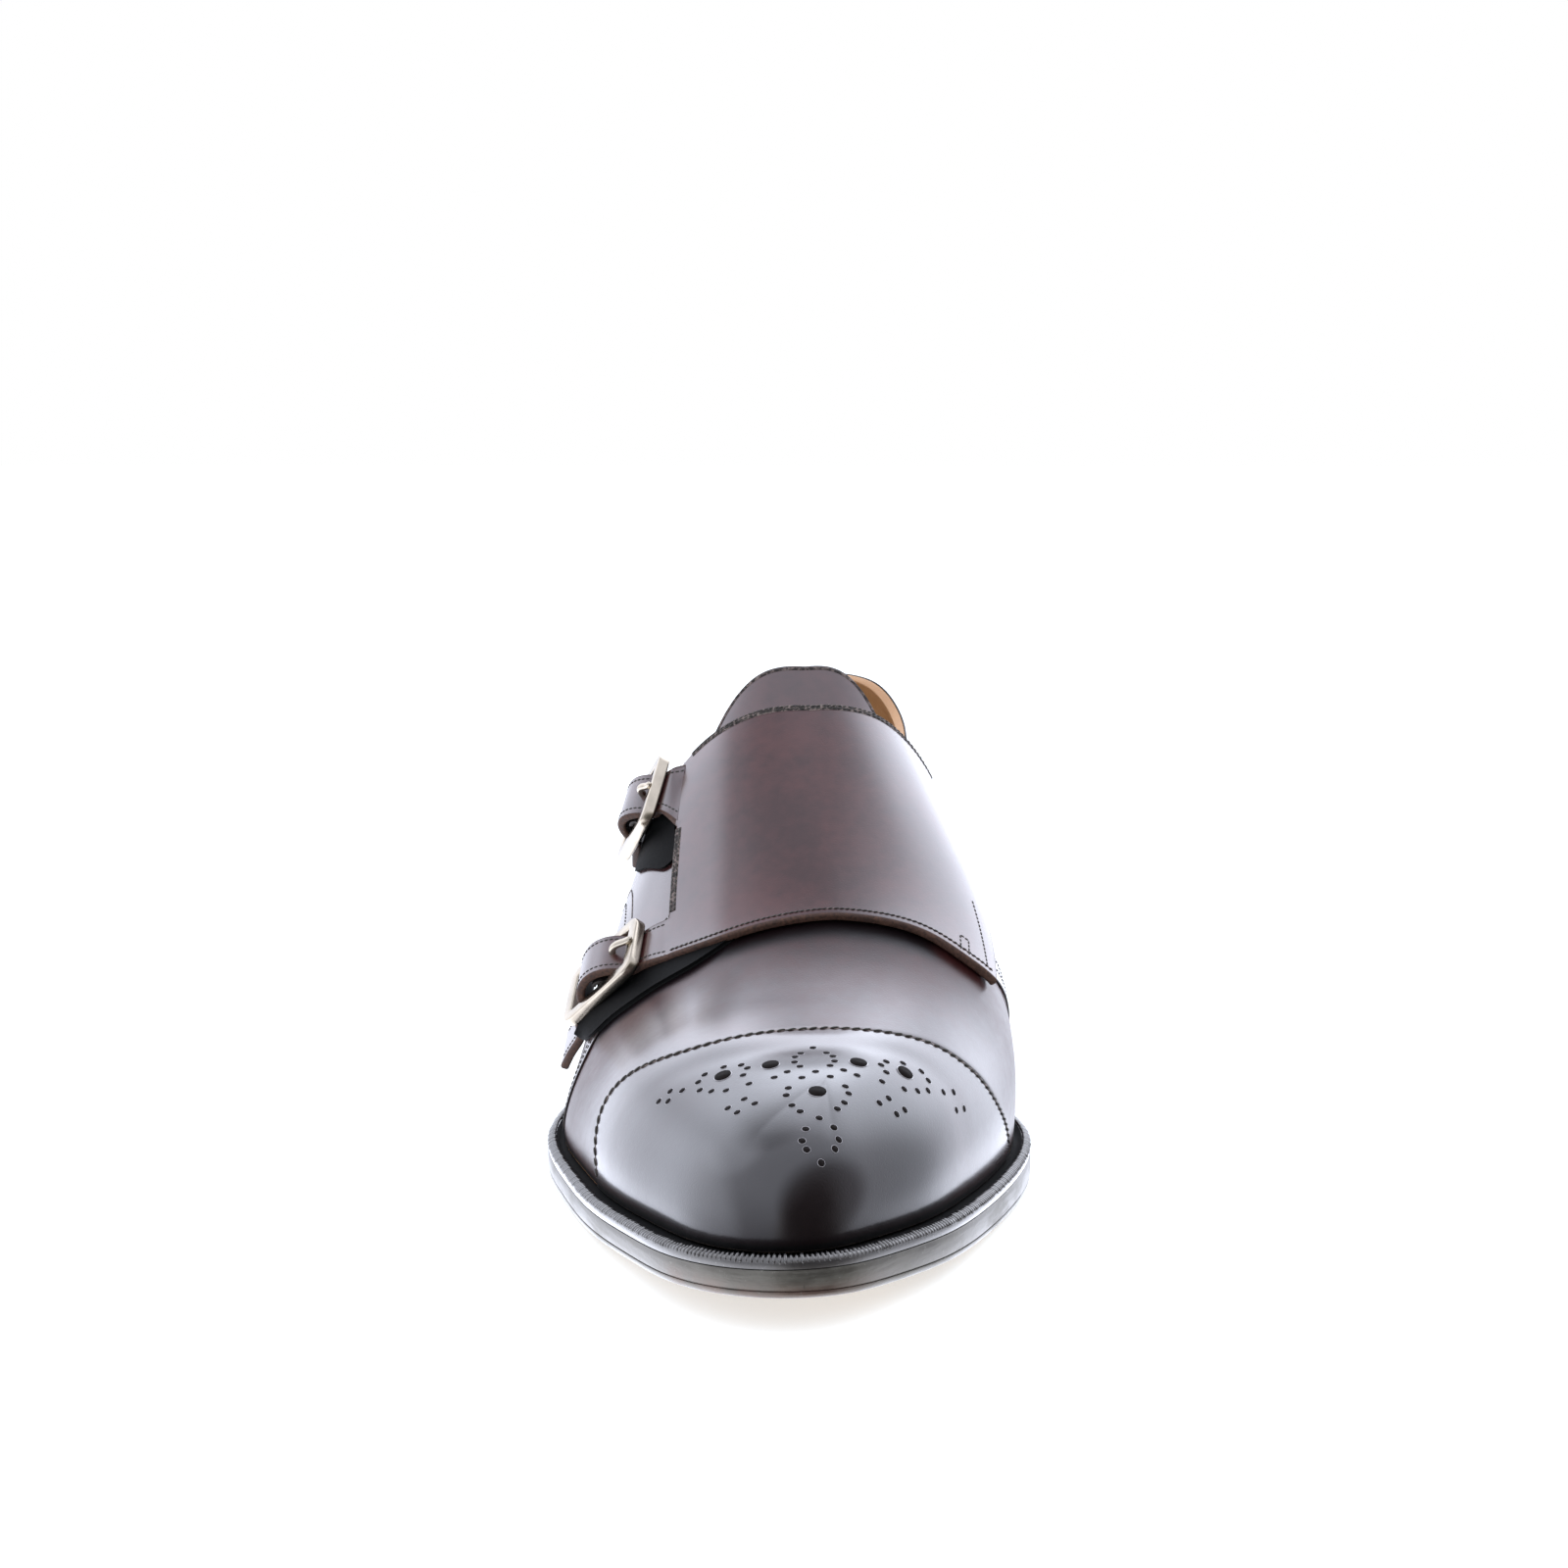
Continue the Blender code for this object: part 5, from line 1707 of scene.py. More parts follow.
def rounded_section(high, wide, power, sides=24):
    """A section between an ellipse, at power 2, and a rectangle."""
    points = []
    for angle in np.linspace(0, 2 * math.pi, sides, endpoint=False):
        c, s = math.cos(angle), math.sin(angle)
        points.append((
            high * math.copysign(abs(c) ** (2 / power), c),
            wide * math.copysign(abs(s) ** (2 / power), s),
        ))
    return points


RIBBON_STEP = 0.8 * MM


def ribbon(name, points, normals, width, high=0.1 * MM):
    """A thin dark band laid along a line on the leather."""
    length = distances(points)
    at = np.linspace(0, length[-1], max(6, int(length[-1] / RIBBON_STEP)))
    path, out = (read_along(at, length, table) for table in (points, normals))
    section = rounded_section(high, width / 2, 2.6, 10)
    return rider(bar(name, path, section, ["seam_band"], out), "leather")


PRONG_MM = (
    # along the strap from the centre bar, height
    (0.6, -1.75),
    (1.75, -0.6),
    (1.6, 0.8),
    (0.2, 1.3),
    (-1.5, 1.3),
    (-3.4, 1.0),
    (-5.2, 1.3),
    (-6.7, 2.7),
    (-8.4, 3.1),
)
PRONG_TIP = 1.4 * MM
PRONG_DROP = 0.1 * MM
PRONG_REST = FRAME_HIGH + 0.6 * PRONG_RADIUS
# How thick the prong is along its length.
PRONG_TAPER = ((0, 0.3, 0.94, 0.985, 1), (0.9, 1.0, 0.85, 0.6, 0.25))

LOOP_WIDTH = 11.0 * MM
LOOP_THICKNESS = 1.0 * MM
LOOP_WRAP = BAR_RADIUS + 0.15 * MM
# From the bar the holder runs down to the quarter: along the strap, and height.
LOOP_END_MM = ((2.0, -1.55), (3.2, -1.9), (4.5, -2.2), (5.8, -2.5))


def buckle_spot(buckle):
    """The function that gives a buckle's points: along its strap, over its frame, and across."""
    centre, along, across, outward = buckle_frame(buckle)
    return lambda s, height, sideways=0.0: centre + along * s + outward * height + across * sideways


def make_buckle_frame(name, buckle):
    """The frame with its rounded corners, and its centre bar."""
    spot = buckle_spot(buckle)
    outward = buckle_frame(buckle)[3]
    half_long, half_wide = buckle["length"] / 2 - FRAME_CORNER, buckle["half_wide"] - FRAME_CORNER
    path = []
    for sign_long, sign_wide, start in ((1, 1, 0), (-1, 1, 90), (-1, -1, 180), (1, -1, 270)):
        for angle in np.radians(np.linspace(start, start + 90, 12)):
            s = sign_long * half_long + FRAME_CORNER * math.cos(angle)
            q = sign_wide * half_wide + FRAME_CORNER * math.sin(angle)
            path.append(spot(s, 0.0, q))
    section = rounded_section(FRAME_HIGH, FRAME_WIDE, 4.5, 28)
    metal = ["nickel"]
    ring = bar(f"{name}_buckle_frame", path, section, metal, outward, closed=True)
    radius = BAR_RADIUS * CENTRE_BAR_SHARE
    ends = np.linspace(-buckle["half_wide"], buckle["half_wide"], 5)
    round_bar = rounded_section(radius, radius, 2.0, 16)
    middle = bar(f"{name}_centre_bar", [spot(0, 0, q) for q in ends], round_bar, metal, outward)
    rider(ring, "buckle_metal", f"{name}_buckle")
    rider(middle, "buckle_metal")


def make_prong(name, buckle):
    """The prong, from its curl round the centre bar to its tip over the frame."""
    spot = buckle_spot(buckle)
    across = buckle_frame(buckle)[2]
    half_long = buckle["length"] / 2
    knots = [spot(s * MM, height * MM) for s, height in PRONG_MM]
    knots.append(spot(-half_long, PRONG_REST))
    knots.append(spot(-half_long - PRONG_TIP, PRONG_REST - PRONG_DROP))
    knots = np.array(knots)
    length = distances(knots)
    at = np.linspace(0, length[-1], 64)
    path = np.stack([spline(length, knots[:, i])(at) for i in range(3)], 1)
    taper = np.interp(at / length[-1], *PRONG_TAPER)
    section = rounded_section(PRONG_RADIUS, PRONG_RADIUS, 2.2, 14)
    prong = bar(f"{name}_buckle_prong", path, section, ["nickel"], across, scale=taper)
    rider(prong, "buckle_metal", f"{name}_prong")


def make_holder(name, buckle):
    """The leather loop round the centre bar, which holds the buckle on the quarter."""
    spot = buckle_spot(buckle)
    _, along, _, outward = buckle_frame(buckle)
    turns = [(LOOP_WRAP * math.cos(a), LOOP_WRAP * math.sin(a)) for a in np.radians(np.linspace(60, 270, 26))]
    turns = np.array(turns + [(s * MM, height * MM) for s, height in LOOP_END_MM])
    ahead = unit(np.gradient(turns, axis=0))
    away = np.stack([ahead[:, 1], -ahead[:, 0]], 1)
    face, normals = [], []
    widths = np.linspace(-LOOP_WIDTH / 2, LOOP_WIDTH / 2, 9)
    for (s, height), (s_out, height_out) in zip(turns, away):
        for q in widths:
            face.append(spot(s + s_out * LOOP_THICKNESS, height + height_out * LOOP_THICKNESS, q))
            normals.append(along * s_out + outward * height_out)
    faces = face_lists(lattice_quads(len(turns), len(widths), turned=True))
    looks = ["strap_leather", "strap_leather", "inked_edge"]
    holder = panel(f"{name}_buckle_holder", face, normals, faces, LOOP_THICKNESS, looks, corner=0.2 * MM)
    rider(holder, "loop_leather", f"{name}_buckle_loop")


# The punched pattern on the toe cap, one half of it: distance from its axis, and place along the shoe.
MEDALLION_MM = (
    # beside the axis, along
    (0.0, 50.7),
    (2.6, 47.8),
    (3.8, 45.9),
    (4.0, 43.3),
    (3.0, 41.0),
    (0.0, 38.1),
    (5.6, 39.1),
    (8.2, 37.6),
    (2.8, 35.7),
    (5.6, 32.2),
    (6.1, 29.8),
    (5.1, 26.4),
    (3.6, 24.1),
    (0.0, 21.4),
    (2.7, 19.0),
    (3.5, 16.6),
    (2.7, 14.8),
    (0.0, 12.6),
    (18.1, 48.2),
    (14.6, 46.5),
    (13.4, 44.4),
    (14.3, 42.0),
    (13.2, 37.8),
    (21.9, 48.5),
    (23.2, 47.0),
    (28.8, 51.0),
    (26.4, 47.9),
    (22.9, 43.9),
    (20.6, 41.2),
    (17.7, 38.8),
    (31.1, 51.5),
    (29.2, 48.5),
    (14.2, 33.0),
    (12.2, 30.1),
    (17.4, 32.8),
    (15.6, 30.0),
)
MEDALLION_BIG_MM = ((8.8, 43.5), (18.3, 44.8), (0.0, 30.0))
# The axis: its x at a place along the shoe, and its slope.
MEDALLION_AXIS_MM = (6.1, 40, -0.041)
# How far the inner half lies further back than the outer one: by the distance beside the axis, by its square,
# and by the squared distance in front of the pattern's back end.
MEDALLION_SKEW = (-0.053, 0.0064, 0.00037)
MEDALLION_BACK_MM = 50
HOLE_DEPTH = 0.2 * MM
SETTLE_REACH = 1.5 * MM


def settled(made, line):
    """A line of points and normals drawn onto the face of a finished piece."""
    tree = BVHTree.FromObject(made, bpy.context.evaluated_depsgraph_get())
    points, normals = line
    found = []
    for start, normal, point in zip(world(points + normals * SETTLE_REACH), normals, world(points)):
        at = tree.ray_cast(Vector(start), Vector(-normal), 2 * SETTLE_REACH)[0]
        found.append(point if at is None else at)
    return from_world(found), normals


def surface_spots(made, plan, size):
    """Spots on a finished piece's upper face straight below plan points (x, along)."""
    tree = BVHTree.FromObject(made, bpy.context.evaluated_depsgraph_get())
    points, out = [], []
    for x, along in plan:
        at, normal, _, _ = tree.ray_cast(Vector(world([x, along, 0.2])), Vector((0, 0, -1)))
        if at is None:
            raise RuntimeError("a punched hole lies beside the leather")
        points.append(from_world(at))
        out.append(np.array(normal))
    out = np.array(out)
    ahead = unit(np.array([1.0, 0.0, 0.0]) - out * out[:, :1])
    return {"point": np.array(points), "ahead": ahead, "out": out, "size": np.full(len(out), size)}


def make_medallion(sizes, cap):
    """The punched pattern: holes as discs of painted shade, each with a lip painted pale as its highlight."""
    even, wide, tip = MEDALLION_SKEW
    middle, place, slope = MEDALLION_AXIS_MM

    def both_sides(rows):
        plan = []
        for beside, along in rows:
            skew = beside * (even + wide * beside + tip * (MEDALLION_BACK_MM - along) ** 2)
            for sign in (-1, 1) if beside else (1,):
                x = middle + slope * (along - place) + sign * beside
                plan.append((x * MM, (along + sign * skew) * MM))
        return plan

    small = surface_spots(cap, both_sides(MEDALLION_MM), 1.0)
    big = surface_spots(cap, both_sides(MEDALLION_BIG_MM), sizes.big_hole / sizes.small_hole)
    holes = joined(small, big)
    holes["point"] = holes["point"] - holes["out"] * HOLE_DEPTH / 4
    width = sizes.small_hole
    # Each hole is a thin nearly black disc: painted shade in place of the hole's depth.
    rider(pattern("punched_holes", "disc", holes, (width, width, HOLE_DEPTH), "hole"), "leather")
    big["size"] = np.ones(len(big["point"]))
    # The rings round the holes are painted pale as their highlight.
    for name, spots, width in (("punched_rims", small, width), ("punched_rims_big", big, sizes.big_hole)):
        rider(pattern(name, "ring", spots, (width, width, 1.0 * MM), "hole_rim_highlight"), "leather")


def cap_edge_line(ahead_of, height):
    """A line over the toe cap from its lateral to its medial foot, a distance in front of its end."""
    points, normals = [], []
    for side, rises in ((LATERAL, np.linspace(0.01, 1, 500)), (MEDIAL, np.linspace(1, 0.01, 500))):
        u = cap_station(side, rises)
        at, normal = leather_point(u - station_step(u, ahead_of), side, rises, height)
        points.append(at)
        normals.append(normal)
    return np.concatenate(points), np.concatenate(normals)


def flap_line(share, v, height):
    """A line on the flap's face. It takes matched shares and v."""
    share, v = np.broadcast_arrays(np.asarray(share, float), np.asarray(v, float))
    small = 2e-3
    base = flap_base(share, v)
    over = flap_base(np.clip(share + small, -1, 1), v) - flap_base(np.clip(share - small, -1, 1), v)
    back = flap_base(share, np.clip(v + small, 0, 1)) - flap_base(share, np.clip(v - small, 0, 1))
    normal = unit(np.cross(unit(back), unit(over)))
    return base + normal * (FLAP_LIFT + FLAP_THICKNESS + height), normal


# One stitch: the thread's share of the pitch and its height. On the cap the thread is thicker.
THREAD_SHARE = 0.86
THREAD_HEIGHT = 0.34 * MM
CAP_THREAD_SHARE = 0.9
CAP_THREAD_WIDTH, CAP_THREAD_HEIGHT = 0.6 * MM, 0.5 * MM
CAP_SEAM_IN = 1.0 * MM
CAP_BAND = 0.85 * MM

# Seams of the flap: how far inside its front and its top edge, as shares of its length, and how near its cut
# edge, which is stitched between two places.
FLAP_LENGTH = 62 * MM
FRONT_SEAM_IN = 2.1 * MM / FLAP_LENGTH
TOP_SEAMS_IN = (0.65 * MM / FLAP_LENGTH, 1.4 * MM / FLAP_LENGTH)
TOP_BAND_IN = 1.1 * MM / FLAP_LENGTH
TOP_SEAM_END = 0.90
CUT_EDGE_SEAMS = (0.982, 0.958)
CUT_EDGE_BAND = 0.970
CUT_EDGE_RUN = (0.27, 0.65)
# The seam on the medial side, from its back to its front end: rise, and share of the way to the top edge. The
# corner above it is stitched on three sides, between two rises and two such shares.
MEDIAL_SEAM = ((0.537, 0.34), (0.502, 0.04))
CORNER_RISES = (0.633, 0.595)
CORNER_RUN = (0.02, 0.10)


def sew(name, rows, sizes):
    """Rows of fine stitches as one piece."""
    size = (sizes.stitch_pitch * THREAD_SHARE, sizes.stitch_width, THREAD_HEIGHT)
    rider(pattern(name, "bead", joined(*rows), size, "thread"), "leather")


def medial_share(rise):
    """The flap's share for a rise up the medial wall."""
    return -(1 - rise) / (1 - FLAP_MEDIAL_END)


def make_flap_stitches(sizes, flap):
    """The flap's seams with the grooves that they lie in."""
    front = np.concatenate([-np.linspace(0.97, 0, 500) ** 2, np.linspace(0, 0.998, 400)[1:] ** 2])
    back = front[front < TOP_SEAM_END]
    run = np.linspace(*CUT_EDGE_RUN, 200)
    for name, share, v, width in (
        ("front_seam_band", front, FRONT_SEAM_IN, 0.3 * MM),
        ("top_seam_band", back, 1 - TOP_BAND_IN, 2.0 * MM),
        ("cut_edge_band", CUT_EDGE_BAND, run, 1.8 * MM),
    ):
        ribbon(name, *settled(flap, flap_line(share, v, 0.0)), width)
    rows = []
    seams = [(front, FRONT_SEAM_IN)] + [(back, 1 - seam) for seam in TOP_SEAMS_IN]
    seams += [(share, run) for share in CUT_EDGE_SEAMS]
    for share, v in seams:
        line = settled(flap, flap_line(share, v, 0.0))
        rows.append(spots_along(*line, sizes.stitch_pitch, slant=0.3, lift=0.1 * MM))
    (back_rise, back_v), (front_rise, front_v) = MEDIAL_SEAM
    seam = np.linspace(0, 1, 200)
    seam_share = medial_share(back_rise - (back_rise - front_rise) * seam)
    line = flap_line(seam_share, back_v - (back_v - front_v) * seam, 0.0)
    rows.append(spots_along(*line, sizes.stitch_pitch, slant=0.12))
    corner = [(medial_share(rise), np.linspace(*CORNER_RUN, 60)) for rise in CORNER_RISES]
    corner.append((medial_share(np.linspace(*CORNER_RISES[::-1], 60)), CORNER_RUN[1]))
    for share, v in corner:
        rows.append(spots_along(*flap_line(share, v, 0.0), sizes.stitch_pitch, slant=0.1))
    sew("flap_stitches", rows, sizes)


def make_strap_stitches(sizes):
    """A row of stitches along both edges of each strap."""
    rows = []
    for _, strap, normals in flap_straps(*flap_surface()).values():
        for share in (2.0 * MM / STRAP_WIDTH, 1 - 1.6 * MM / STRAP_WIDTH):
            at = share * (strap.shape[1] - 1)
            low = int(at)
            line = strap[:, low] * (1 - at + low) + strap[:, low + 1] * (at - low)
            line = line + normals[:, low] * FLAP_THICKNESS
            rows.append(spots_along(line[:-2], normals[:-2, low], sizes.stitch_pitch, slant=0.1))
    sew("strap_stitches", rows, sizes)


def make_cap_stitches(sizes, cap):
    """The heavy seam along the end of the toe cap."""
    line, normals = settled(cap, cap_edge_line(CAP_SEAM_IN, CAP_PROUD))
    ribbon("cap_seam_band", line, normals, CAP_BAND)
    spots = spots_along(line, normals, sizes.cap_stitch_pitch, slant=0.38, lift=0.15 * MM)
    size = (CAP_THREAD_SHARE * sizes.cap_stitch_pitch, CAP_THREAD_WIDTH, CAP_THREAD_HEIGHT)
    rider(pattern("cap_stitches", "bead", spots, size, "thread"), "leather")


# Fronts of the two quarters: the place along the shoe for each rise up the wall.
QUARTER_FRONT = {
    LATERAL: ((0.0, 108.0), (0.2, 113.0), (0.32, 118.0), (0.40, 121.0), (0.46, 123.0), (0.60, 126.0)),
    MEDIAL: ((0.0, 126.0), (0.15, 122.0), (0.30, 116.0), (0.45, 110.0), (0.60, 107.0)),
}
QUARTER_TOP = {LATERAL: 0.53, MEDIAL: 0.44}
# From this place back the quarter's upper edge is the collar, which it reaches over a share of its length.
COLLAR_FRONT_MM = 166.0
COLLAR_SHARE, COLLAR_CURVE = 0.28, 0.8
QUARTER_PROUD = 0.45 * MM
QUARTER_SUNK = 0.06 * MM
# The short curved seam below the upper buckle: place along the shoe, and rise up the wall.
QUARTER_SEAM = ((155.0, 0.324), (152.8, 0.363), (147.0, 0.398), (140.4, 0.413))
QUARTER_STITCH_IN = 0.035


def quarter_grid(side, stations=90, rises=44):
    """The quarter's face: from its front edge to the back seam, and from the welt to the collar."""
    w, t = np.meshgrid(np.linspace(0, 1, rises + 1), np.linspace(0, 1, stations + 1), indexing="ij")
    edge = QUARTER_TOP[side]
    front = turn(table_of(QUARTER_FRONT[side])[0](w * edge) * MM)
    u = front + (1 - front) * t
    height = TOPLINE[COLUMN[side]](np.maximum(along_of(u) / MM, COLLAR_FRONT_MM)) * MM
    top = rise_at(u, side, height)
    reach = edge + (top - edge) * np.clip(t / COLLAR_SHARE, 0, 1) ** COLLAR_CURVE
    return last_point(u, side, w * reach)


def make_quarters(sizes):
    """Both quarters, laid over the wall behind the vamp, with their seams."""
    rows = []
    looks = ["quarter_leather", "strap_leather", "inked_edge"]
    for side, name in ((LATERAL, "lateral_quarter"), (MEDIAL, "medial_quarter")):
        base = quarter_grid(side)
        shape = base.shape[:2]
        normals = grid_normals(base.reshape(-1, 3), *shape) * side
        face = base.reshape(-1, 3) + normals * QUARTER_PROUD
        faces = face_lists(lattice_quads(*shape, 0, turned=side == LATERAL))
        piece = panel(name, face, normals, faces, QUARTER_PROUD - QUARTER_SUNK, looks, corner=0.15 * MM)
        rider(piece, "leather")
        grid, grid_out = face.reshape(base.shape), normals.reshape(base.shape)
        for column in (1, 2):
            line = grid[1:-2, column], grid_out[1:-2, column]
            rows.append(spots_along(*line, sizes.stitch_pitch, slant=0.12))
    places, rises = (spline(range(len(QUARTER_SEAM)), values) for values in zip(*QUARTER_SEAM))
    at = np.linspace(0, len(QUARTER_SEAM) - 1, 60)
    u = turn(places(at) * MM)
    ribbon("quarter_seam", *leather_point(u, LATERAL, rises(at), QUARTER_PROUD), 0.45 * MM)
    line = leather_point(u, LATERAL, rises(at) - QUARTER_STITCH_IN, QUARTER_PROUD)
    rows.append(spots_along(*line, sizes.stitch_pitch, slant=0.12))
    sew("quarter_stitches", rows, sizes)


def make_tabs():
    """Black tabs between the straps and the quarter, partly real and partly a dark sheet for their shadow."""
    for name, front in TAB_FRONTS.items():
        line = table_of(front)[0]
        heights = np.linspace(front[0][0], front[-1][0], 41)
        t, rise = np.meshgrid(np.linspace(0, 1, 25), heights, indexing="ij")
        u = turn((line(rise) + (TAB_BACKS[name] - line(rise)) * t) * MM)
        normals = last_normal(u, LATERAL, rise)
        low, high = TAB_BACK_RISES
        lift = TAB_LIFT + TAB_BACK_LIFT * t * np.clip((high - rise) / (high - low), 0, 1)
        face = (last_point(u, LATERAL, rise) + normals * lift[..., None]).reshape(-1, 3)
        faces = face_lists(lattice_quads(*u.shape, 0, turned=True))
        normals = normals.reshape(-1, 3)
        looks = ["valley"] * 3
        tab = panel(f"{name}_strap_tab_and_shadow", face, normals, faces, TAB_THICKNESS, looks, corner=0.3 * MM)
        rider(tab, "leather")


CAMERA_PLACE = (0.005, -0.642, 0.1875)
CAMERA_TILT = 80.5
CAMERA_TURN = 0.55
CAMERA_LENS = 63.36
SENSOR_WIDTH = 36.0

# The table top ends in front of the shoe, without its front corner on the inner side. It glows a little.
TABLE = ((-2.0, -0.27), (0.13, -0.27), (0.18, -0.12), (2.0, -0.12), (2.0, 3.0), (-2.0, 3.0))
TABLE_GLOW = 0.6

# The studio's brighter and darker fields, in degrees. Azimuth goes from the front towards the inner side.
LIGHT_FIELDS = (
    # azimuth, elevation, even within, gone beyond, strength
    (148, 28, 16, 46, 2.2),
    (-166, 36, 8, 32, 1.1),
    (-110, 40, 12, 28, 1.0),
    (-140, 60, 8, 24, -0.7),
    (-112, -24, 34, 60, 1.3),
    (150, -22, 12, 34, 0.8),
)
# The dark field in front takes a share of the light away.
DARK_FIELD = (40, -12, 30, 57)
DARK_SHARE = 0.9
# Between these heights of direction the low light gives way to the light from above. The table's glow comes
# up between two others, to its strength.
SKY_HEIGHTS = (-0.2, 0.45)
FLOOR_GLOW = (-0.20, -0.42, 1.7)
COOL_LIGHT, WARM_LIGHT, WHITE = (0.84, 0.88, 1.0), (1.0, 0.98, 0.96), (1.0, 1.0, 1.0)


def make_stage(sizes):
    """A pale floor, a plain studio's light and the camera."""
    scene = bpy.context.scene
    mesh = bpy.data.meshes.new("studio_floor")
    mesh.from_pydata([(x, y, 0.0) for x, y in TABLE], [], [tuple(range(len(TABLE)))])
    floor = bpy.data.objects.new("studio_floor", mesh)
    scene.collection.objects.link(floor)
    fixed = {"Roughness": 0.9, "Specular IOR Level": 0.0, "Emission Strength": TABLE_GLOW}
    graph = Finish("pale_floor", fixed)
    shade = graph.noise(graph.place(), 3.0, 2.0)
    floor_colour = graph.mixed(shade * 0.1, (0.56, 0.58, 0.57), (0.54, 0.56, 0.55))
    glow = graph.mixed(shade * 0.1, (0.97, 1.0, 0.985), (0.93, 0.97, 0.95))
    mesh.materials.append(graph.link(Base_Color=floor_colour, Emission_Color=glow))
    floor.visible_glossy = False

    camera = bpy.data.cameras.new("camera")
    camera.lens = CAMERA_LENS
    camera.sensor_width = SENSOR_WIDTH
    camera.clip_start = 0.01
    holder = bpy.data.objects.new("camera", camera)
    holder.location = CAMERA_PLACE
    holder.rotation_euler = (math.radians(CAMERA_TILT), 0.0, math.radians(CAMERA_TURN))
    scene.collection.objects.link(holder)
    scene.camera = holder
    scene.view_settings.view_transform = "Standard"
    make_light(sizes)


def toward(azimuth, elevation):
    """Unit vector towards a place in the studio."""
    turned, raised = math.radians(azimuth), math.radians(elevation)
    return (math.sin(turned) * math.cos(raised), -math.cos(turned) * math.cos(raised), math.sin(raised))


def make_light(sizes):
    """A bright studio all round, brighter behind and at the sides, with a dark corner in front."""
    world_light = bpy.data.worlds.new("studio_light")
    world_light.use_nodes = True
    bpy.context.scene.world = world_light
    tree = world_light.node_tree
    graph = Graph(tree)
    back = tree.nodes["Background"]
    direction = graph.node("ShaderNodeTexCoord", output="Generated")
    height = graph.axes(direction)[2]

    def field(azimuth, elevation, even, gone):
        dot = {0: direction, 1: toward(azimuth, elevation)}
        share = graph.node("ShaderNodeVectorMath", dot, "Value", operation="DOT_PRODUCT")
        return share.over(math.cos(math.radians(gone)), math.cos(math.radians(even)))

    level = height.over(*SKY_HEIGHTS) * (sizes.sky_level - sizes.low_level) + sizes.low_level
    for *place, strength in LIGHT_FIELDS:
        level = level + field(*place) * strength
    *heights, strength = FLOOR_GLOW
    level = level + height.over(*heights) * strength
    dark = field(*DARK_FIELD)
    level = level * (1 - dark * DARK_SHARE)
    # The camera itself sees plain white behind the shoe.
    seen = graph.node("ShaderNodeLightPath", output="Is Camera Ray")
    shown = graph.mixed(seen, graph.mixed(dark, COOL_LIGHT, WARM_LIGHT), WHITE)
    tree.links.new(shown.socket, back.inputs["Color"])
    tree.links.new((level * (1 - seen) + seen).socket, back.inputs["Strength"])


def colour_setting(name, about, default):
    """A colour in the sidebar."""
    kind = {"subtype": "COLOR", "size": 3, "min": 0.0, "max": 1.0}
    return bpy.props.FloatVectorProperty(name=name, description=about, default=default, **kind)


def length_setting(name, about, default, least, most):
    """A length in the sidebar."""
    kind = {"unit": "LENGTH", "min": least, "max": most}
    return bpy.props.FloatProperty(name=name, description=about, default=default, **kind)


def share_setting(name, about, default):
    """A share in the sidebar."""
    kind = {"subtype": "FACTOR", "min": 0.0, "max": 1.0}
    return bpy.props.FloatProperty(name=name, description=about, default=default, **kind)


def light_setting(name, about, default):
    """The strength of a light in the sidebar."""
    return bpy.props.FloatProperty(name=name, description=about, default=default, min=0.0, max=10.0)


class ShoeLooks(bpy.types.PropertyGroup):
    """Sizes and colours of the shoe's finish."""

    leather_dark: colour_setting("Leather, dark", "Deepest burgundy dye", (0.026, 0.0065, 0.0065))
    leather_light: colour_setting("Leather, light", "Palest burgundy dye", (0.054, 0.013, 0.012))
    toe_burnish: share_setting("Toe burnish", "How far the tip of the toe is darkened", 0.8)
    grain_depth: length_setting("Grain depth", "Depth of the leather's pores", 0.00004, 0.0, 0.001)
    edge_dark: colour_setting("Sole edge", "Wax on the edge of the sole", (0.016, 0.0145, 0.013))
    edge_worn: colour_setting("Sole edge, worn", "Wax where the edge is rubbed", (0.062, 0.060, 0.052))
    buckle_colour: colour_setting("Buckles", "Plating of the buckles", (0.42, 0.37, 0.30))
    sky_level: light_setting("Light from above", "Brightness of the studio above the shoe", 1.8)
    low_level: light_setting("Light from below", "Brightness of the studio at and below the table", 1.2)
    stitch_pitch: length_setting("Stitch pitch", "Length of one fine stitch", 0.00125, 0.0005, 0.005)
    stitch_width: length_setting("Thread", "Width of the fine thread", 0.00042, 0.0001, 0.002)
    cap_stitch_pitch: length_setting("Cap stitch pitch", "Length of one cap stitch", 0.0022, 0.0005, 0.005)
    tooth_pitch: length_setting("Notch pitch", "Distance between two welt notches", 0.00105, 0.0005, 0.005)
    tooth_length: length_setting("Notch length", "How far a notch runs over the welt", 0.0023, 0.0005, 0.006)
    tooth_height: length_setting("Notch height", "Height of the ridge beside a notch", 0.0009, 0.0001, 0.003)
    small_hole: length_setting("Small hole", "Width of a small punched hole", 0.00152, 0.0005, 0.005)
    big_hole: length_setting("Big hole", "Width of a big punched hole", 0.0036, 0.0005, 0.008)


class SHOE_OT_sole(bpy.types.Operator):
    """Build the outsole, the heel and the sock inside"""

    bl_idname = "shoe.build_sole"
    bl_label = "Sole and heel"
    bl_options = {"REGISTER", "UNDO"}

    def execute(self, context):
        make_outsole()
        make_heel()
        make_insole()
        return {"FINISHED"}


class SHOE_OT_welt(bpy.types.Operator):
    """Build the welt with its notches"""

    bl_idname = "shoe.build_welt"
    bl_label = "Welt"
    bl_options = {"REGISTER", "UNDO"}

    def execute(self, context):
        make_welt()
        make_notches(context.scene.shoe_looks)
        return {"FINISHED"}


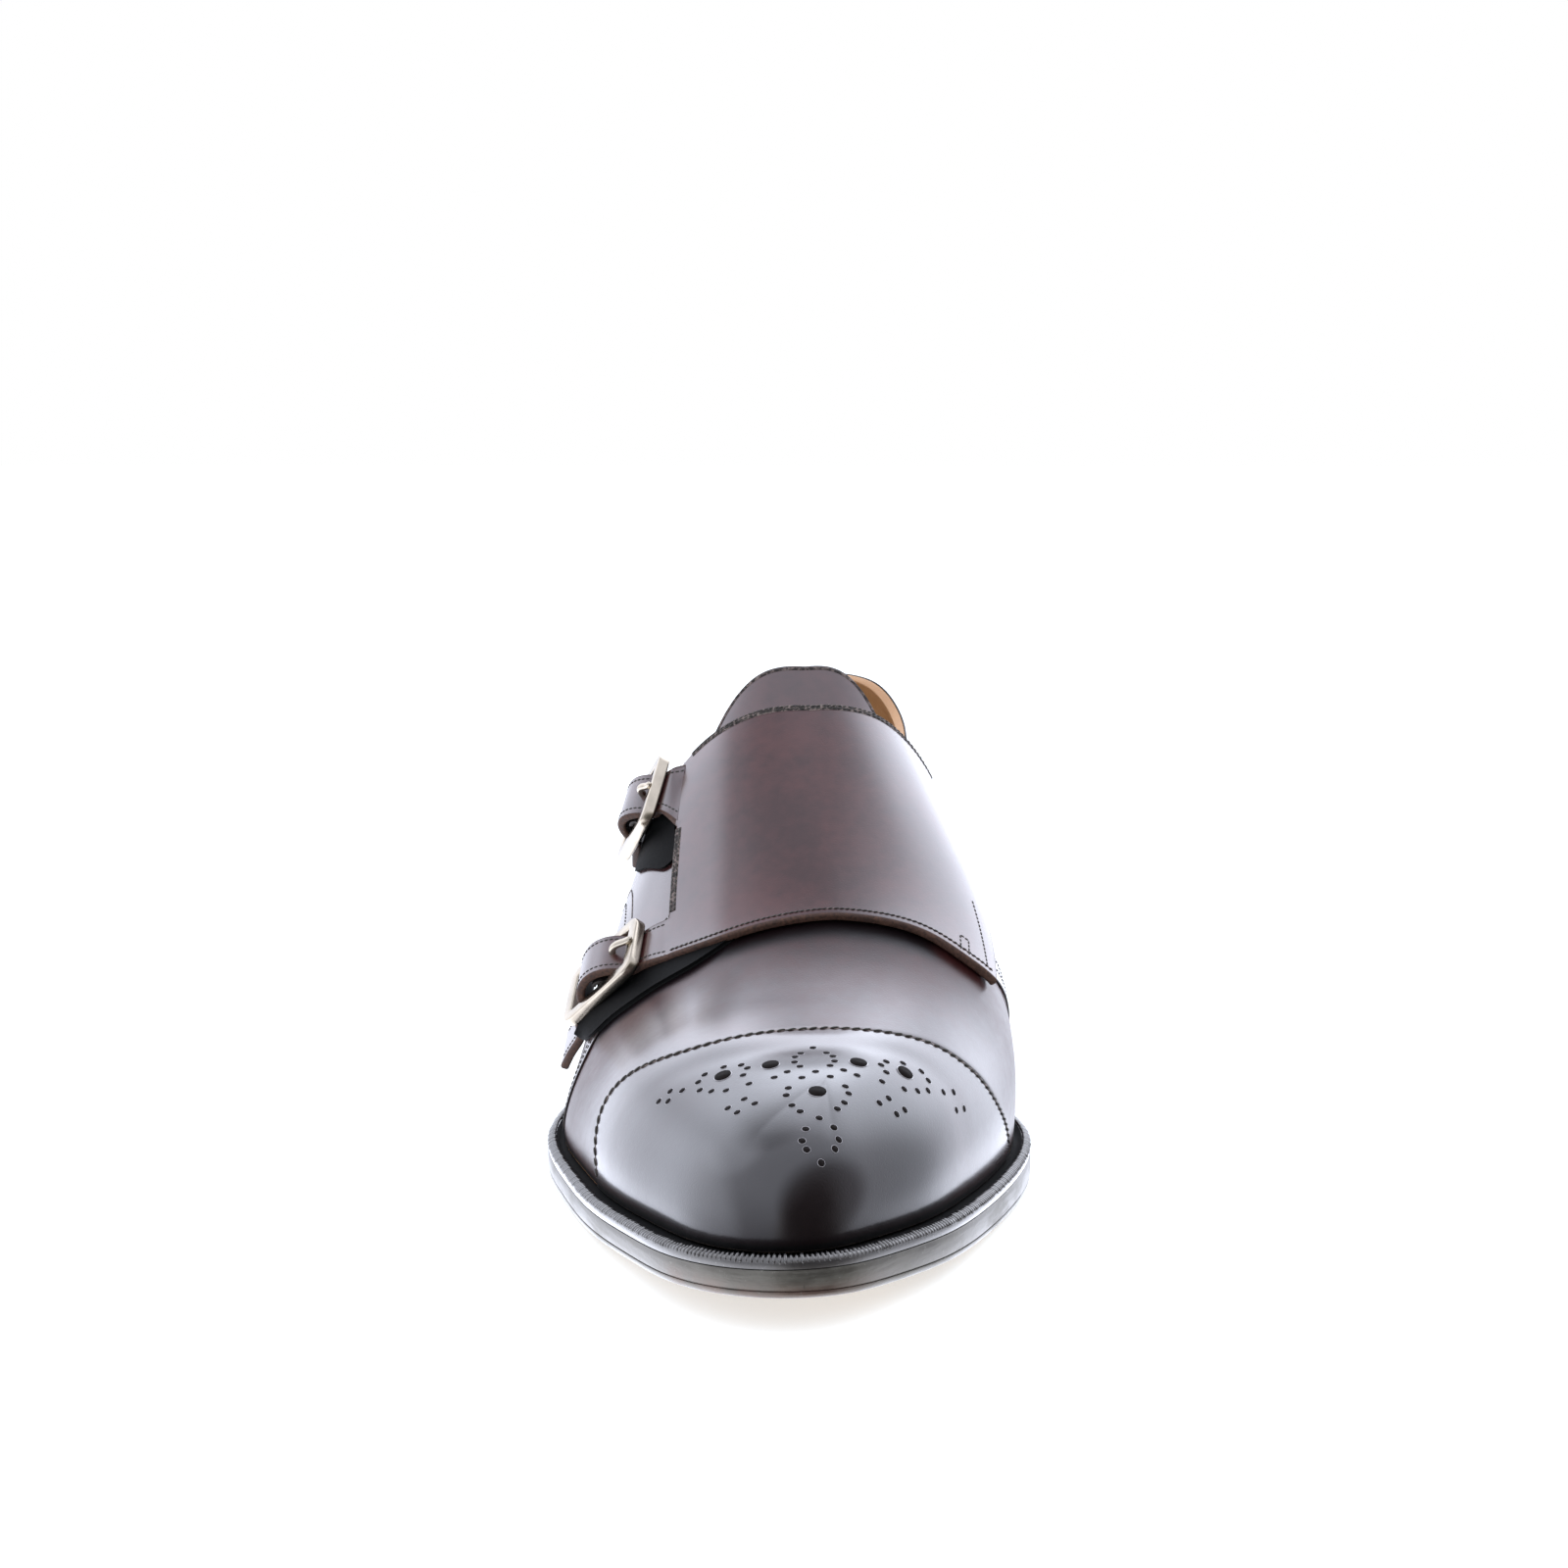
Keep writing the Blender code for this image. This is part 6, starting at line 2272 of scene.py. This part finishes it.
class SHOE_OT_upper(bpy.types.Operator):
    """Build the vamp, the quarters and the lining"""

    bl_idname = "shoe.build_upper"
    bl_label = "Upper"
    bl_options = {"REGISTER", "UNDO"}

    def execute(self, context):
        make_upper()
        make_quarters(context.scene.shoe_looks)
        make_tabs()
        return {"FINISHED"}


class SHOE_OT_toe_cap(bpy.types.Operator):
    """Build the toe cap with its stitching and its punched pattern"""

    bl_idname = "shoe.build_toe_cap"
    bl_label = "Toe cap"
    bl_options = {"REGISTER", "UNDO"}

    def execute(self, context):
        sizes = context.scene.shoe_looks
        cap = make_toe_cap()
        make_cap_stitches(sizes, cap)
        make_medallion(sizes, cap)
        return {"FINISHED"}


class SHOE_OT_flap(bpy.types.Operator):
    """Build the flap with its two straps and its stitching"""

    bl_idname = "shoe.build_flap"
    bl_label = "Flap and straps"
    bl_options = {"REGISTER", "UNDO"}

    def execute(self, context):
        sizes = context.scene.shoe_looks
        flap = make_flap()
        make_flap_stitches(sizes, flap)
        make_strap_stitches(sizes)
        return {"FINISHED"}


class SHOE_OT_tongue(bpy.types.Operator):
    """Build the tongue"""

    bl_idname = "shoe.build_tongue"
    bl_label = "Tongue"
    bl_options = {"REGISTER", "UNDO"}

    def execute(self, context):
        make_tongue()
        return {"FINISHED"}


class SHOE_OT_buckles(bpy.types.Operator):
    """Build both buckles with their prongs and holders"""

    bl_idname = "shoe.build_buckles"
    bl_label = "Buckles"
    bl_options = {"REGISTER", "UNDO"}

    def execute(self, context):
        for name, buckle in BUCKLES.items():
            make_buckle_frame(name, buckle)
            make_prong(name, buckle)
            make_holder(name, buckle)
        return {"FINISHED"}


class SHOE_OT_stage(bpy.types.Operator):
    """Build the pale floor, the studio's light and the camera"""

    bl_idname = "shoe.build_stage"
    bl_label = "Stage"
    bl_options = {"REGISTER", "UNDO"}

    def execute(self, context):
        make_stage(context.scene.shoe_looks)
        return {"FINISHED"}


BUILDERS = (
    SHOE_OT_sole,
    SHOE_OT_welt,
    SHOE_OT_upper,
    SHOE_OT_toe_cap,
    SHOE_OT_flap,
    SHOE_OT_tongue,
    SHOE_OT_buckles,
    SHOE_OT_stage,
)


class SHOE_PT_panel(bpy.types.Panel):
    """The shoe's sizes, colours and builders"""

    bl_idname = "SHOE_PT_panel"
    bl_label = "Double Monk Strap Shoe"
    bl_space_type = "VIEW_3D"
    bl_region_type = "UI"
    bl_category = "Shoe"

    def draw(self, context):
        for name in ShoeLooks.__annotations__:
            self.layout.prop(context.scene.shoe_looks, name)
        for builder in BUILDERS:
            self.layout.operator(builder.bl_idname)


CLASSES = (ShoeLooks, *BUILDERS, SHOE_PT_panel)


def register():
    for made in CLASSES:
        bpy.utils.register_class(made)
    bpy.types.Scene.shoe_looks = bpy.props.PointerProperty(type=ShoeLooks)


def unregister():
    del bpy.types.Scene.shoe_looks
    for made in reversed(CLASSES):
        bpy.utils.unregister_class(made)


def main():
    register()
    for builder in BUILDERS:
        group, action = builder.bl_idname.split(".")
        getattr(getattr(bpy.ops, group), action)()


if __name__ == "__main__":
    main()
